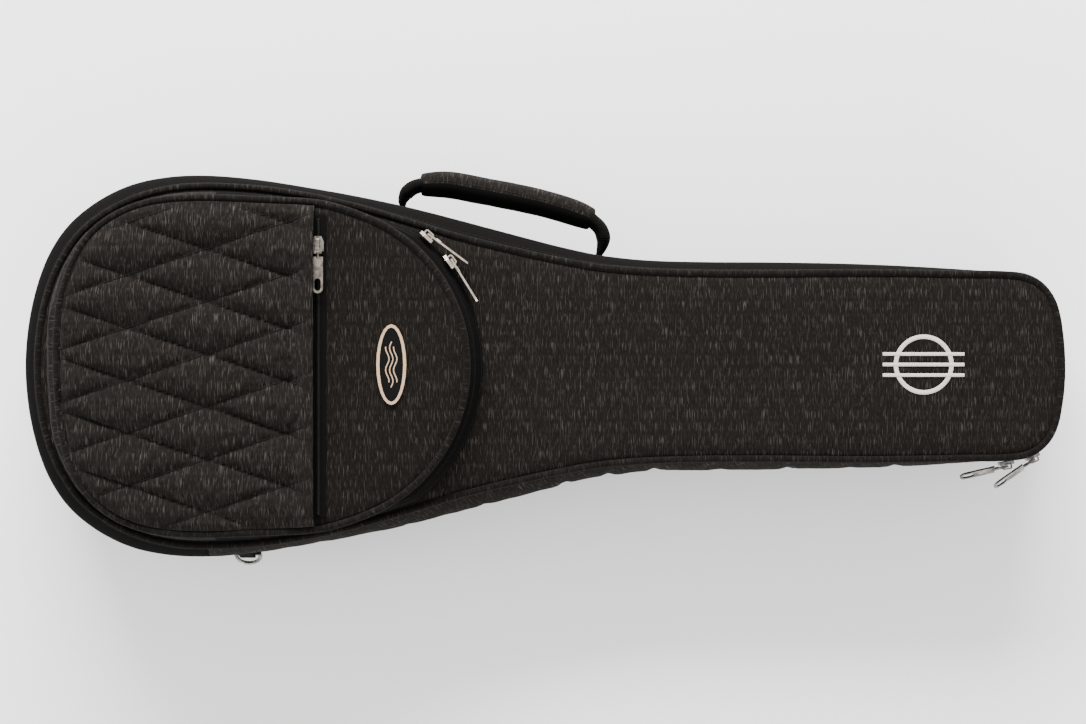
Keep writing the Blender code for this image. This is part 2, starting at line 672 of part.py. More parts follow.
RING_HALF, RING_WIRE = 8.5 * MM, 1.4 * MM
TAB_THICKNESS, TAB_HALF, TAB_RISE = 1.4 * MM, 5 * MM, 18 * MM
RING_LEAN = math.radians(45)  # how far the ring stands out from hanging straight down


def ring_bar(lines):
    """The middle of the ring's straight bar, beside the lower part of the gusset."""
    share = BULGES["low"] * RING_Z / (BODY_DEPTH * 0.3)
    face = lines.gusset(share)
    here = place_at(face, RING_X, -1)
    i = math.floor(here)
    wall_y = face[i].lerp(face[i + 1], here - i).y
    return Vector((RING_X, wall_y - 2 * TAB_THICKNESS - 2 * RING_WIRE, RING_Z))


def make_ring(collection, lines, surfaces):
    """A D-ring for a strap, in a folded webbing tab at the side of the lower bout."""
    bar = ring_bar(lines)
    loop = RING_WIRE + 2 * GAP + TAB_THICKNESS
    bend = [Vector((loop * math.cos(a), -loop * math.sin(a))) for a in (math.pi * i / 6 for i in range(7))]
    profile = [Vector((loop, TAB_RISE)), *bend, Vector((loop - TAB_THICKNESS, TAB_RISE * 0.5)),
               Vector((loop - TAB_THICKNESS, TAB_RISE))]
    tunnel = ellipse(Vector((0, 0)), RING_WIRE + 2 * GAP, RING_WIRE + 2 * GAP, 12)
    tab = plate(collection, "ring_tab", [profile, tunnel], 0, 2 * TAB_HALF, surfaces["webbing"])
    tab.rotation_euler = (math.pi / 2, 0, math.pi / 2)
    tab.location = bar
    arc = [(RING_HALF * math.cos(a), -RING_HALF * math.sin(a) - RING_WIRE)
           for a in (math.pi * step / 8 for step in range(9))]
    outline = [(-RING_HALF, 0), (RING_HALF, 0), *arc]
    points = [bar + Vector((x, y * math.sin(RING_LEAN), y * math.cos(RING_LEAN))) for x, y in outline]
    return tube(collection, "strap_ring", points, RING_WIRE, surfaces["metal"], closed=True)


def ellipse(centre, half_x, half_y, steps):
    return [centre + Vector((half_x * math.cos(a), half_y * math.sin(a)))
            for a in (2 * math.pi * step / steps for step in range(steps))]


BADGE_CENTRE, BADGE_HALF, BADGE_RIM = (-100.4 * MM, 1 * MM), (9.8 * MM, 26.4 * MM), 2 * MM
MARK_CENTRE, MARK_RADIUS, MARK_BAND = (252 * MM, 1 * MM), 20 * MM, 3 * MM
STRING_HALF_LENGTH, STRING_HALF_WIDTH, STRING_PITCH = 27 * MM, 1.2 * MM, 7 * MM
MARK_THICKNESS = 1 * MM
STRING_RISE = 0.05 * MM  # how far the strings of the mark lie above its ring


def make_marks(collection, helpers, surfaces):
    """The oval badge on the pocket, and the stitched ring-and-strings mark near the head."""
    centre, low = Vector(BADGE_CENTRE), POCKET_FACE + GAP
    outside, middle, inside = (
        ellipse(centre, BADGE_HALF[0] - inset, BADGE_HALF[1] - inset, 24)
        for inset in (0, BADGE_RIM, BADGE_RIM + GAP)
    )
    plate(collection, "badge_plate", [inside], low, 1.4 * MM, surfaces["badge"])
    plate(collection, "badge_rim", [outside, middle], low, 1.8 * MM, surfaces["cream"])
    mark, mark_low = Vector(MARK_CENTRE), BODY_DEPTH + GAP
    ring = [ellipse(mark, radius, radius, 24) for radius in (MARK_RADIUS, MARK_RADIUS - MARK_BAND)]
    pieces = [plate(helpers, "mark_ring_line", ring, mark_low, MARK_THICKNESS, surfaces["thread"])]
    for step in (-1, 0, 1):
        y = mark.y + step * STRING_PITCH
        bar = rectangle(mark.x - STRING_HALF_LENGTH, mark.x + STRING_HALF_LENGTH,
                        y - STRING_HALF_WIDTH, y + STRING_HALF_WIDTH)
        name = f"mark_string_line{step}"
        pieces.append(plate(helpers, name, [bar], mark_low + STRING_RISE, MARK_THICKNESS, surfaces["thread"]))
    bpy.context.view_layer.update()
    meshes = [as_mesh(helpers, piece, f"mark_part_{i}") for i, piece in enumerate(pieces)]
    data = joined(helpers, "neck_mark", meshes)
    collection.objects.link(bpy.data.objects.new("neck_mark", data))


# --- Bodies that move ---------------------------------------------------------------------------


def pivot(collection, name, location, members):
    """An empty on a joint's axis, which carries the pieces that turn or slide there."""
    empty = bpy.data.objects.new(name, None)
    empty.location = location
    collection.objects.link(empty)
    bpy.context.view_layer.update()
    for member in members:
        carry(member, empty)
    return empty


LID_NODES = (
    "front_panel", "front_foam", "front_lining", "front_piping", "main_zip_tape_upper", "main_zip_coil_upper",
    "hinge_gusset_upper", "pocket_gusset_end", "pocket_zip_tape_lower", "pocket_zip_coil_lower",
    "pocket_face_end", "pocket_piping_end", "quilted_panel_end", "neck_mark",
)
FLAP_NODES = (
    "pocket_face_flap", "pocket_piping_flap", "quilted_panel_flap", "pocket_zip_tape_upper",
    "pocket_zip_coil_upper", "slip_zip_tape", "slip_zip_coil", "badge_plate", "badge_rim",
)
HINGE_CLEARANCE = 12 * MM  # room for the sliders beside the fabric hinge's line


def main():
    for obj in list(bpy.data.objects):
        bpy.data.objects.remove(obj)
    bag = bpy.data.collections.new("charango_gig_bag")
    helpers = bpy.data.collections.new("cutters_and_helpers")
    for collection in (bag, helpers):
        bpy.context.scene.collection.children.link(collection)
    surfaces = make_materials()
    lines = Outlines()

    make_base(bag, lines, surfaces)
    low_edge = (GUSSET_TOP, BULGES["tape"])
    lower_edge, upper_edge = ((ZIP_HEIGHT + sign * GAP / 2, BULGES["zip"]) for sign in (-1, 1))
    high_edge = (BODY_DEPTH - SEAM_HEIGHT, BULGES["top"])
    zip_half(bag, lines, surfaces, "lower", low_edge, lower_edge)
    zip_half(bag, lines, surfaces, "upper", upper_edge, high_edge)
    make_lid(bag, lines, surfaces)
    pocket_walls(bag, lines, surfaces)
    pocket_faces(bag, lines, surfaces)
    slip_x = slip_zip(bag, surfaces)
    hardware = zip_hardware(bag, helpers, lines, surfaces, slip_x)
    make_handle(bag, surfaces)
    make_ring(bag, lines, surfaces)
    make_marks(bag, helpers, surfaces)
    bpy.context.view_layer.update()

    first, second = lines.hinge_line()
    away = Vector((second.y - first.y, first.x - second.x)).normalized() * HINGE_CLEARANCE
    nodes = bag.objects
    on_line = (first + second) / 2 + away
    lid = pivot(bag, "lid_pivot", (*on_line, ZIP_HEIGHT), [nodes[n] for n in LID_NODES])
    flap = pivot(bag, "flap_pivot", (FOLD_X, 0, FOLD_Z), [nodes[n] for n in FLAP_NODES])
    carry(flap, lid)
    for name, carrier in (("pocket_first", lid), ("pocket_second", lid), ("slip", flap)):
        carry(hardware[name], carrier)
    roots = [Vector((x * MM, y * MM, HANDLE_Z)) for (x, y), *_ in LEG_LINES.values()]
    pivot(bag, "handle_pivot", (roots[0] + roots[1]) / 2, [nodes[n] for n in ("handle_grip", *LEG_LINES)])
    pivot(bag, "ring_pivot", ring_bar(lines), [nodes["strap_ring"]])


main()
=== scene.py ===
"""The looks of a padded gig bag for a charango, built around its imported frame.

Cloth pieces are grids and lofts over the frame's own outlines. Their UV maps are in metres, so that weave,
slubs and stitches keep their real size, and V runs the way the light slubs lie.
"""

import math

import bmesh
import bpy
import numpy as np
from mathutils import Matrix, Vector, noise
from mathutils.bvhtree import BVHTree


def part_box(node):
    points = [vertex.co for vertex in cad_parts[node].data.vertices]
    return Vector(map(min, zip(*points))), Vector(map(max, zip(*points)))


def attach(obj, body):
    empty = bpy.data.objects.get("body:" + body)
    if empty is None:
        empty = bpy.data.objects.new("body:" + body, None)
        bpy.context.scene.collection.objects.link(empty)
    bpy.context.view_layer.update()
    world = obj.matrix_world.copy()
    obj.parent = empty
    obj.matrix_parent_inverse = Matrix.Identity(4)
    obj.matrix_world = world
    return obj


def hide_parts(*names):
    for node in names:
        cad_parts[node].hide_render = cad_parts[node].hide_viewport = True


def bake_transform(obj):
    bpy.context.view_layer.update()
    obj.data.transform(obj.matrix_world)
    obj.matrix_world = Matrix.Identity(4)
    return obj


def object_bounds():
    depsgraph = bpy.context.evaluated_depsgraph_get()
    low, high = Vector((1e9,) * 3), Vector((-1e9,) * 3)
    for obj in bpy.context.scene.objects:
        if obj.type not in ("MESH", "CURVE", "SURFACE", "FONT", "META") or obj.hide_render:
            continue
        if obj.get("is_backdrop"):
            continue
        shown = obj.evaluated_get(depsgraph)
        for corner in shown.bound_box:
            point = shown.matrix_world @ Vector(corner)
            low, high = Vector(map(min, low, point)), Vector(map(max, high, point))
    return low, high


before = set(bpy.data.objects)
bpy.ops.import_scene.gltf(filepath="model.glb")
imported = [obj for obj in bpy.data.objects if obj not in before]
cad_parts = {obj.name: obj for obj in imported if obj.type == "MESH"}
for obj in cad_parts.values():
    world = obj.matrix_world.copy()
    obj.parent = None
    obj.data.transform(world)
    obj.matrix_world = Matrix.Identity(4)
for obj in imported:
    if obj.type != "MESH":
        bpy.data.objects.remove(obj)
bpy.context.view_layer.update()
CAD_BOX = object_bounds()


def note_size(**boxes):
    {name: [list(corner) for corner in box] for name, box in boxes.items()}


note_size(cad=CAD_BOX)

MM = 0.001
STEPS = 8  # samples of a smooth outline for each point of the frame's own
CLOTH = 1.0 * MM  # thickness of a free edge of cloth

# --- Outlines, read from the frame --------------------------------------------------------------


def mirrored_outline(points, least=1.0 * MM):
    """A closed outline that starts at its -X tip along +Y, from the points of its +Y side in any order."""
    upper = []
    for x, y in sorted({(round(x, 6), round(y, 6)) for x, y in points if y > -0.01 * MM}):
        if not upper or math.hypot(x - upper[-1][0], y - upper[-1][1]) > least:
            upper.append((x, max(y, 0.0)))
    return np.array(upper + [(x, -y) for x, y in reversed(upper[1:-1])])


def rim(node, top=True):
    """The outer outline of a node's flat top or bottom face."""
    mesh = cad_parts[node].data
    heights = [v.co.z for v in mesh.vertices]
    level = max(heights) if top else min(heights)
    edges = set()
    for face in mesh.polygons:
        if all(abs(mesh.vertices[i].co.z - level) < 0.02 * MM for i in face.vertices):
            ring = [tuple(round(c, 5) for c in mesh.vertices[i].co[:2]) for i in face.vertices]
            for a, b in zip(ring, ring[1:] + ring[:1]):
                if (b, a) in edges:
                    edges.discard((b, a))
                else:
                    edges.add((a, b))
    after, loops = dict(edges), []
    while after:
        start, here = after.popitem()
        loop = [start]
        while here in after:
            loop.append(here)
            here = after.pop(here)
        loops.append(np.array(loop))
    loop = max(loops, key=lambda points: abs(area(points)))
    if area(loop) > 0:
        loop = loop[::-1]
    return np.roll(loop, -int(np.argmin(loop[:, 0] + 1e-3 * abs(loop[:, 1]))), axis=0)


def area(loop):
    """The signed area of a closed 2D loop, which is negative when it runs clockwise seen from above."""
    after = np.roll(loop, -1, axis=0)
    return 0.5 * float(np.sum(loop[:, 0] * after[:, 1] - loop[:, 1] * after[:, 0]))


def spline(points, steps, closed=True):
    """A centripetal Catmull-Rom curve through points, with this many samples from each to the next."""
    points = np.asarray(points, float)
    if closed:
        a, b, c, d = (np.roll(points, k, axis=0) for k in (1, 0, -1, -2))
    else:
        padded = np.vstack([2 * points[0] - points[1], points, 2 * points[-1] - points[-2]])
        a, b, c, d = padded[:-3], padded[1:-2], padded[2:-1], padded[3:]
    t1 = np.sqrt(np.linalg.norm(b - a, axis=1))[:, None]
    t2 = t1 + np.sqrt(np.linalg.norm(c - b, axis=1))[:, None]
    t3 = t2 + np.sqrt(np.linalg.norm(d - c, axis=1))[:, None]
    samples = []
    for step in range(steps):
        t = t1 + (t2 - t1) * step / steps
        ab, bc = a + (b - a) * t / t1, b + (c - b) * (t - t1) / (t2 - t1)
        cd = c + (d - c) * (t - t2) / (t3 - t2)
        abc, bcd = ab + (bc - ab) * t / t2, bc + (cd - bc) * (t - t1) / (t3 - t1)
        samples.append(abc + (bcd - abc) * (t - t1) / (t2 - t1))
    curve = np.stack(samples, axis=1).reshape(-1, points.shape[1])
    return curve if closed else np.vstack([curve, points[-1:]])


def normals(loop, closed=True):
    """Unit normals in the XY plane, pointing out of a loop that runs clockwise seen from above."""
    if closed:
        along = np.roll(loop, -1, axis=0)[:, :2] - np.roll(loop, 1, axis=0)[:, :2]
    else:
        along = np.gradient(loop[:, :2], axis=0)
    along /= np.linalg.norm(along, axis=1)[:, None]
    return np.stack([-along[:, 1], along[:, 0]], axis=1)


def offset(loop, distance, closed=True):
    distance = np.broadcast_to(distance, len(loop))
    return loop + normals(loop, closed) * distance[:, None]


def lifted(loop, z):
    return np.column_stack([loop[:, :2], np.broadcast_to(z, len(loop))])


def lengths(path, closed=False):
    """Distance along a path at each of its points, and its whole length."""
    ends = np.vstack([path, path[:1]]) if closed else path
    steps = np.linalg.norm(np.diff(ends, axis=0), axis=1)
    total = np.concatenate([[0], np.cumsum(steps)])
    return (total[:-1] if closed else total), total[-1]


def resampled(path, spacing, closed=False):
    """Points at even spacing along a path."""
    ends = np.vstack([path, path[:1]]) if closed else path
    at, whole = lengths(ends)
    count = max(2, round(whole / spacing))
    places = np.arange(count) * whole / count if closed else np.linspace(0, whole, count)
    return np.column_stack([np.interp(places, at, ends[:, k]) for k in range(ends.shape[1])])


def smoothed(loop, times):
    for _ in range(times):
        loop = 0.5 * loop + 0.25 * (np.roll(loop, 1, axis=0) + np.roll(loop, -1, axis=0))
    return loop


def edge_distance(points, loop):
    """Distance from each 2D point to a closed loop."""
    flat = points.reshape(-1, 2)
    least = np.full(len(flat), np.inf)
    for a, b in zip(loop, np.roll(loop, -1, axis=0)):
        way = b - a
        share = np.clip(((flat - a) @ way) / max(way @ way, 1e-12), 0, 1)
        least = np.minimum(least, np.linalg.norm(flat - (a + share[:, None] * way), axis=1))
    return least.reshape(points.shape[:-1])


def wander(points, scale, seed=0.0):
    """Smooth noise between -1 and 1 at 2D or 3D points, with features of about this size."""
    flat = np.asarray(points, float).reshape(-1, points.shape[-1])
    z = flat[:, 2] if flat.shape[1] > 2 else np.zeros(len(flat))
    values = [noise.noise(Vector((x / scale + seed, y / scale - seed, h / scale + 2 * seed)))
              for x, y, h in zip(flat[:, 0], flat[:, 1], z)]
    return np.array(values).reshape(points.shape[:-1])


def box_of(node):
    low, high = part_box(node)
    return np.array(low), np.array(high)


PANEL = spline(rim("front_panel"), STEPS)
SIDE = spline(rim("side_gusset"), STEPS)
POCKET_POINTS = mirrored_outline(np.vstack([rim("pocket_face_end"), rim("pocket_face_flap")]))
POCKET = smoothed(spline(POCKET_POINTS, STEPS), 60)
FRONT_Z = box_of("front_panel")[1][2]
ZIP_Z = box_of("main_zip_tape_upper")[0][2]
TAPE_LOW_Z = box_of("main_zip_tape_lower")[0][2]
PIPING_RADIUS = 2.4 * MM
SEAM = offset(PANEL, PIPING_RADIUS + 0.3 * MM)
POCKET_FACE_Z = box_of("pocket_face_end")[1][2]
POCKET_SEAM = offset(POCKET, PIPING_RADIUS + 0.3 * MM)
POCKET_ZIP_Z = box_of("pocket_zip_tape_upper")[0][2]
POCKET_FLARE, POCKET_ZIP_SHARE = 13 * MM, 0.3
POCKET_FOOT = offset(POCKET, np.minimum(POCKET_FLARE, edge_distance(POCKET, PANEL) - 1 * MM))
POCKET_ZIP = POCKET_FOOT + (POCKET_SEAM - POCKET_FOOT) * POCKET_ZIP_SHARE
FOLD_X = box_of("pocket_face_end")[1][0]
HINGE_LOW_X, HINGE_HIGH_X = -224 * MM, 277 * MM  # the main zip's two ends, on the -Y side


def crossing(loop, x, side):
    """The index of the sample nearest to x on one side (1 or -1) of the X axis."""
    return int(np.argmin(np.abs(loop[:, 0] - x) + 10.0 * (np.sign(loop[:, 1]) != side)))


ZIP_START, ZIP_END = crossing(SIDE, HINGE_LOW_X, -1), crossing(SIDE, HINGE_HIGH_X, -1)


def indices(loop, start, end):
    """The indices from one sample of a closed loop to another, going forwards."""
    return np.arange(start, end + 1 if end > start else end + len(loop) + 1) % len(loop)


# --- Mesh making --------------------------------------------------------------------------------


def new_object(name, mesh, surface, body=None, stands_for=()):
    obj = bpy.data.objects.new(name, mesh)
    bpy.context.scene.collection.objects.link(obj)
    for item in surface if isinstance(surface, (list, tuple)) else [surface]:
        mesh.materials.append(item)
    if body:
        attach(obj, body)
    if stands_for:
        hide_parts(*stands_for)
    return obj


def grid_mesh(name, points, uv=None, wrap=False):
    """A smooth quad mesh over points (columns, rows, 3), with UVs in metres; wrap joins its end columns."""
    columns, rows = points.shape[:2]
    if uv is None:
        uv = points[..., :2]
    vertices = points.reshape(-1, 3)
    faces, corners = [], []
    for i in range(columns if wrap else columns - 1):
        j = (i + 1) % columns
        for k in range(rows - 1):
            faces.append((i * rows + k, j * rows + k, j * rows + k + 1, i * rows + k + 1))
            after = uv[j] if j else uv[0] + (uv[-1] - uv[-2]) * columns
            corners += [uv[i][k], after[k], after[k + 1], uv[i][k + 1]]
    mesh = bpy.data.meshes.new(name)
    mesh.from_pydata(vertices.tolist(), [], faces)
    layer = mesh.uv_layers.new(name="UVMap")
    layer.data.foreach_set("uv", np.array(corners, np.float32).ravel())
    mesh.shade_smooth()
    return mesh


def apply_modifiers(obj):
    """The object's evaluated mesh in place of its modifiers."""
    graph = bpy.context.evaluated_depsgraph_get()
    shown = obj.evaluated_get(graph)
    mesh = bpy.data.meshes.new_from_object(shown, preserve_all_data_layers=True, depsgraph=graph)
    obj.modifiers.clear()
    obj.data = mesh
    return obj


def thicken(obj, thickness, side=-1.0):
    """Give cloth its thickness: inwards for side -1, or half to each side for 0."""
    solid = obj.modifiers.new("thickness", "SOLIDIFY")
    solid.thickness = thickness
    solid.offset = side
    return apply_modifiers(obj)


EDGE_BIAS = 0.35  # how far a panel's grid lines crowd towards its edges: 0 for evenly spaced, 1 for a cosine


def panel_points(loop, rows):
    """A grid over a mirrored outline, from its -X tip to its +X tip and from -Y to +Y."""
    half = len(loop) // 2
    upper = loop[: half + 1]
    lower = np.vstack([loop[:1], loop[: half - 1 : -1]])
    share = np.linspace(0, 1, rows + 1)
    share = share + EDGE_BIAS * ((1 - np.cos(math.pi * share)) / 2 - share)
    return lower[:, None] + (upper - lower)[:, None] * share[None, :, None]


def loft(name, sections, closed=True, uv_turn=0.0):
    """A smooth strip through 3D sections with matching points, ordered so that its face points outwards."""
    points = np.stack(sections, axis=1)
    along, _ = lengths(points[:, 0])
    steps = np.linalg.norm(np.diff(points, axis=1), axis=2).mean(axis=0)
    u, v = np.meshgrid(along, np.concatenate([[0], np.cumsum(steps)]), indexing="ij")
    cos, sin = math.cos(uv_turn), math.sin(uv_turn)
    uv = np.stack([u * cos - v * sin, u * sin + v * cos], axis=2)
    return grid_mesh(name, points[:, ::-1], uv[:, ::-1], wrap=closed)


def sweep(name, path, radius, sides=10, closed=False, tall=1.0):
    """A tube along a level path with one radius, or one for each point; tall makes its section oval."""
    path = np.asarray(path, float)
    along = np.roll(path, -1, axis=0) - np.roll(path, 1, axis=0) if closed else np.gradient(path, axis=0)
    along /= np.linalg.norm(along, axis=1)[:, None]
    sideways = np.cross(along, (0, 0, 1))
    sideways /= np.linalg.norm(sideways, axis=1)[:, None]
    upright = np.cross(sideways, along)
    radii = np.broadcast_to(radius, len(path))
    turn = np.linspace(0, 2 * math.pi, sides + 1)
    cos, sin = np.cos(turn)[None, :, None], np.sin(turn)[None, :, None]
    ring = cos * sideways[:, None] + tall * sin * upright[:, None]
    points = path[:, None] + ring * radii[:, None, None]
    at, _ = lengths(path)
    u, v = np.meshgrid(at, turn * float(np.mean(radii)), indexing="ij")
    mesh = grid_mesh(name, points, np.stack([u, v], axis=2), wrap=closed)
    edit = bmesh.new()
    edit.from_mesh(mesh)
    bmesh.ops.remove_doubles(edit, verts=edit.verts, dist=0.002 * MM)
    if not closed:
        bmesh.ops.holes_fill(edit, edges=[e for e in edit.edges if e.is_boundary], sides=0)
    bmesh.ops.recalc_face_normals(edit, faces=edit.faces)
    edit.to_mesh(mesh)
    edit.free()
    mesh.shade_smooth()
    return mesh


def capsules(name, starts, ends, radius, sides=5, flat=1.0, up=None):
    """Many short rounded threads, each from a start to an end, as one mesh."""
    starts, ends = np.asarray(starts, float), np.asarray(ends, float)
    along = ends - starts
    size = np.linalg.norm(along, axis=1)[:, None]
    along = along / size
    up = np.broadcast_to(np.array([0, 0, 1.0]) if up is None else up, starts.shape)
    sideways = np.cross(along, up)
    sideways /= np.maximum(np.linalg.norm(sideways, axis=1)[:, None], 1e-9)
    upright = np.cross(sideways, along)
    rings = ((0.0, 0.35), (0.12, 0.9), (0.5, 1.0), (0.88, 0.9), (1.0, 0.35))  # shares of length and of radius
    turn = np.arange(sides) * 2 * math.pi / sides
    cos, sin = np.cos(turn)[None, :, None], np.sin(turn)[None, :, None]
    vertices = []
    for share, width in rings:
        centre = starts + along * size * share
        circle = cos * sideways[:, None] + flat * sin * upright[:, None]
        vertices.append(centre[:, None] + circle * radius * width)
    vertices = np.stack(vertices, axis=1).reshape(-1, 3)
    per = len(rings) * sides
    faces = []
    for n in range(len(starts)):
        base = n * per
        for r in range(len(rings) - 1):
            for s in range(sides):
                t = (s + 1) % sides
                low, high = base + r * sides, base + (r + 1) * sides
                faces.append((low + t, low + s, high + s, high + t))
        faces.append(tuple(base + s for s in range(sides)))
        faces.append(tuple(base + per - 1 - s for s in range(sides)))
    mesh = bpy.data.meshes.new(name)
    mesh.from_pydata(vertices.tolist(), [], faces)
    mesh.shade_smooth()
    return mesh


# --- Materials ----------------------------------------------------------------------------------


class Surface:
    """A Principled material under construction, with short calls for its nodes."""

    def __init__(self, name, roughness, metallic=0.0, **sockets):
        self.material = bpy.data.materials.new(name)
        self.material.use_nodes = True
        self.tree = self.material.node_tree
        self.shader = self.tree.nodes["Principled BSDF"]
        self.shader.inputs["Roughness"].default_value = roughness
        self.shader.inputs["Metallic"].default_value = metallic
        for socket, value in sockets.items():
            self.shader.inputs[socket.replace("_", " ")].default_value = value

    def node(self, kind, inputs=(), **settings):
        made = self.tree.nodes.new(kind)
        for key, value in settings.items():
            setattr(made, key, value)
        for socket, value in dict(inputs).items():
            if isinstance(value, bpy.types.NodeSocket):
                self.tree.links.new(value, made.inputs[socket])
            else:
                made.inputs[socket].default_value = value
        return made

    def metres(self, source="UV"):
        return self.node("ShaderNodeTexCoord").outputs[source]

    def mapped(self, vector, scale=(1, 1, 1), turn=0.0):
        mapping = self.node("ShaderNodeMapping", {"Vector": vector, "Scale": scale, "Rotation": (0, 0, turn)})
        return mapping.outputs["Vector"]

    def grain(self, vector, *sizes, detail=2.0, roughness=0.5):
        """Noise with features of these sizes in mm: one for every way, two for UVs, or three."""
        scale = [1 / (size * MM) for size in (sizes * 3 if len(sizes) == 1 else sizes)]
        scale = (*scale, 1)[:3]
        vector = self.mapped(vector, scale)
        inputs = {"Vector": vector, "Scale": 1.0, "Detail": detail, "Roughness": roughness}
        return self.node("ShaderNodeTexNoise", inputs).outputs["Fac"]

    def ribs(self, vector, pitch, direction="X"):
        """Waves this far apart; Blender's bands repeat every pi / 10 of a scaled coordinate, near 1 / pi."""
        inputs = {"Vector": vector, "Scale": 1 / (math.pi * pitch)}
        return self.node("ShaderNodeTexWave", inputs, bands_direction=direction).outputs["Fac"]

    def range(self, value, low, high, to_low=0.0, to_high=1.0):
        inputs = {"Value": value, "From Min": low, "From Max": high, "To Min": to_low, "To Max": to_high}
        return self.node("ShaderNodeMapRange", inputs).outputs["Result"]

    def maths(self, operation, a, b):
        return self.node("ShaderNodeMath", {0: a, 1: b}, operation=operation).outputs[0]

    def blend(self, share, a, b):
        mix = self.node("ShaderNodeMix", {"Factor": share}, data_type="RGBA")
        for socket, value in (("A", a), ("B", b)):
            target = next(s for s in mix.inputs if s.name == socket and s.type == "RGBA")
            if isinstance(value, bpy.types.NodeSocket):
                self.tree.links.new(value, target)
            else:
                target.default_value = (*value, 1.0)
        return next(s for s in mix.outputs if s.type == "RGBA")

    def bump(self, height, distance, strength=1.0, after=None):
        inputs = {"Height": height, "Distance": distance, "Strength": strength}
        if after:
            inputs["Normal"] = after
        return self.node("ShaderNodeBump", inputs).outputs["Normal"]

    def finish(self, colour=None, normal=None, roughness=None):
        for socket, value in (("Base Color", colour), ("Normal", normal), ("Roughness", roughness)):
            if isinstance(value, bpy.types.NodeSocket):
                self.tree.links.new(value, self.shader.inputs[socket])
            elif value is not None:
                self.shader.inputs[socket].default_value = (*value, 1.0)
        return self.material


YARN = 0.55 * MM  # pitch of the melange cloth's yarns


def melange(name, dark, light, slub, slub_share=0.605):
    """Matt cloth of two dark yarns, with short light slubs along V."""
    made = Surface(name, 0.95, Sheen_Weight=0.02, Sheen_Roughness=0.5, Specular_IOR_Level=0.05)
    uv = made.metres()
    yarns = made.grain(uv, 0.6, 7, detail=3.0, roughness=0.7)
    patches = made.grain(uv, 60, 40)
    ground = made.blend(made.range(yarns, 0.40, 0.60), dark, light)
    ground = made.blend(made.range(patches, 0.35, 0.7, 0.0, 0.25), ground, light)
    thick = made.grain(uv, 0.55, 9, detail=1.0, roughness=0.35)
    fine = made.grain(uv, 0.42, 4, detail=1.0, roughness=0.35)
    slubs = made.maths("MAXIMUM", made.range(thick, slub_share, slub_share + 0.06),
                       made.range(fine, slub_share, slub_share + 0.10, 0.0, 0.6))
    slubs = made.maths("MULTIPLY", slubs, made.range(made.grain(uv, 9, 14), 0.38, 0.6, 0.45, 1.0))
    colour = made.blend(slubs, ground, slub)
    weft = made.ribs(uv, YARN, "X")
    warp = made.ribs(uv, YARN, "Y")
    weave = made.maths("ADD", made.maths("MULTIPLY", weft, warp), made.maths("MULTIPLY", slubs, 0.8))
    return made.finish(colour, made.bump(weave, 0.12 * MM, 0.7))


def twill(name, dark, light, pitch, depth=0.12 * MM, roughness=0.95):
    """Close ribbed cloth, such as zip tape, webbing or a nylon lining; its ribs run along V."""
    made = Surface(name, roughness, Specular_IOR_Level=0.04)
    uv = made.metres()
    ribs = made.ribs(uv, pitch)
    ticks = made.ribs(made.mapped(uv, turn=0.9), 1.4 * pitch)
    fuzz = made.grain(uv, 1.2, 1.2, detail=3.0)
    tone = made.maths("ADD", made.maths("MULTIPLY", ribs, 0.5), made.maths("MULTIPLY", fuzz, 0.6))
    colour = made.blend(made.range(tone, 0.2, 0.9), dark, light)
    height = made.maths("ADD", ribs, made.maths("MULTIPLY", ticks, 0.5))
    return made.finish(colour, made.bump(height, depth, 0.8))


def brushed_lining(name, dark, light):
    """Soft short-pile lining with a slight nap."""
    made = Surface(name, 0.95, Sheen_Weight=0.2, Sheen_Roughness=0.4, Specular_IOR_Level=0.15)
    point = made.metres("Object")
    nap = made.grain(point, 25, detail=3.0)
    pile = made.grain(point, 0.9, detail=4.0, roughness=0.7)
    tone = made.maths("ADD", made.maths("MULTIPLY", nap, 0.6), made.maths("MULTIPLY", pile, 0.4))
    return made.finish(made.blend(made.range(tone, 0.35, 0.65), dark, light), made.bump(pile, 0.4 * MM, 0.5))


def plated_metal(name, colour, worn):
    """Plated zinc: satin, with fine scratches and rubbed edges."""
    made = Surface(name, 0.28, metallic=1.0)
    point = made.metres("Object")
    scratches = made.grain(point, 0.3, 3, 0.3)
    clouds = made.grain(point, 4, detail=3.0)
    tone = made.blend(made.range(clouds, 0.4, 0.65), colour, worn)
    rough = made.range(scratches, 0.3, 0.7, 0.22, 0.4)
    return made.finish(tone, made.bump(scratches, 0.02 * MM, 0.4), rough)


def moulded(name, colour, fleck, roughness):
    """Moulded plastic with a fine leathery grain."""
    made = Surface(name, roughness, Specular_IOR_Level=0.08)
    grain = made.grain(made.metres("Object"), 0.6, detail=3.0)
    tone = made.blend(made.range(grain, 0.4, 0.7), colour, fleck)
    return made.finish(tone, made.bump(grain, 0.04 * MM, 0.5))


def thread(name, dark, light, roughness=0.55):
    """Twisted polyester thread."""
    made = Surface(name, roughness, Specular_IOR_Level=0.2)
    plies = made.grain(made.metres("Object"), 0.35)
    tone = made.blend(made.range(plies, 0.35, 0.65), dark, light)
    return made.finish(tone, made.bump(plies, 0.08 * MM, 0.6))


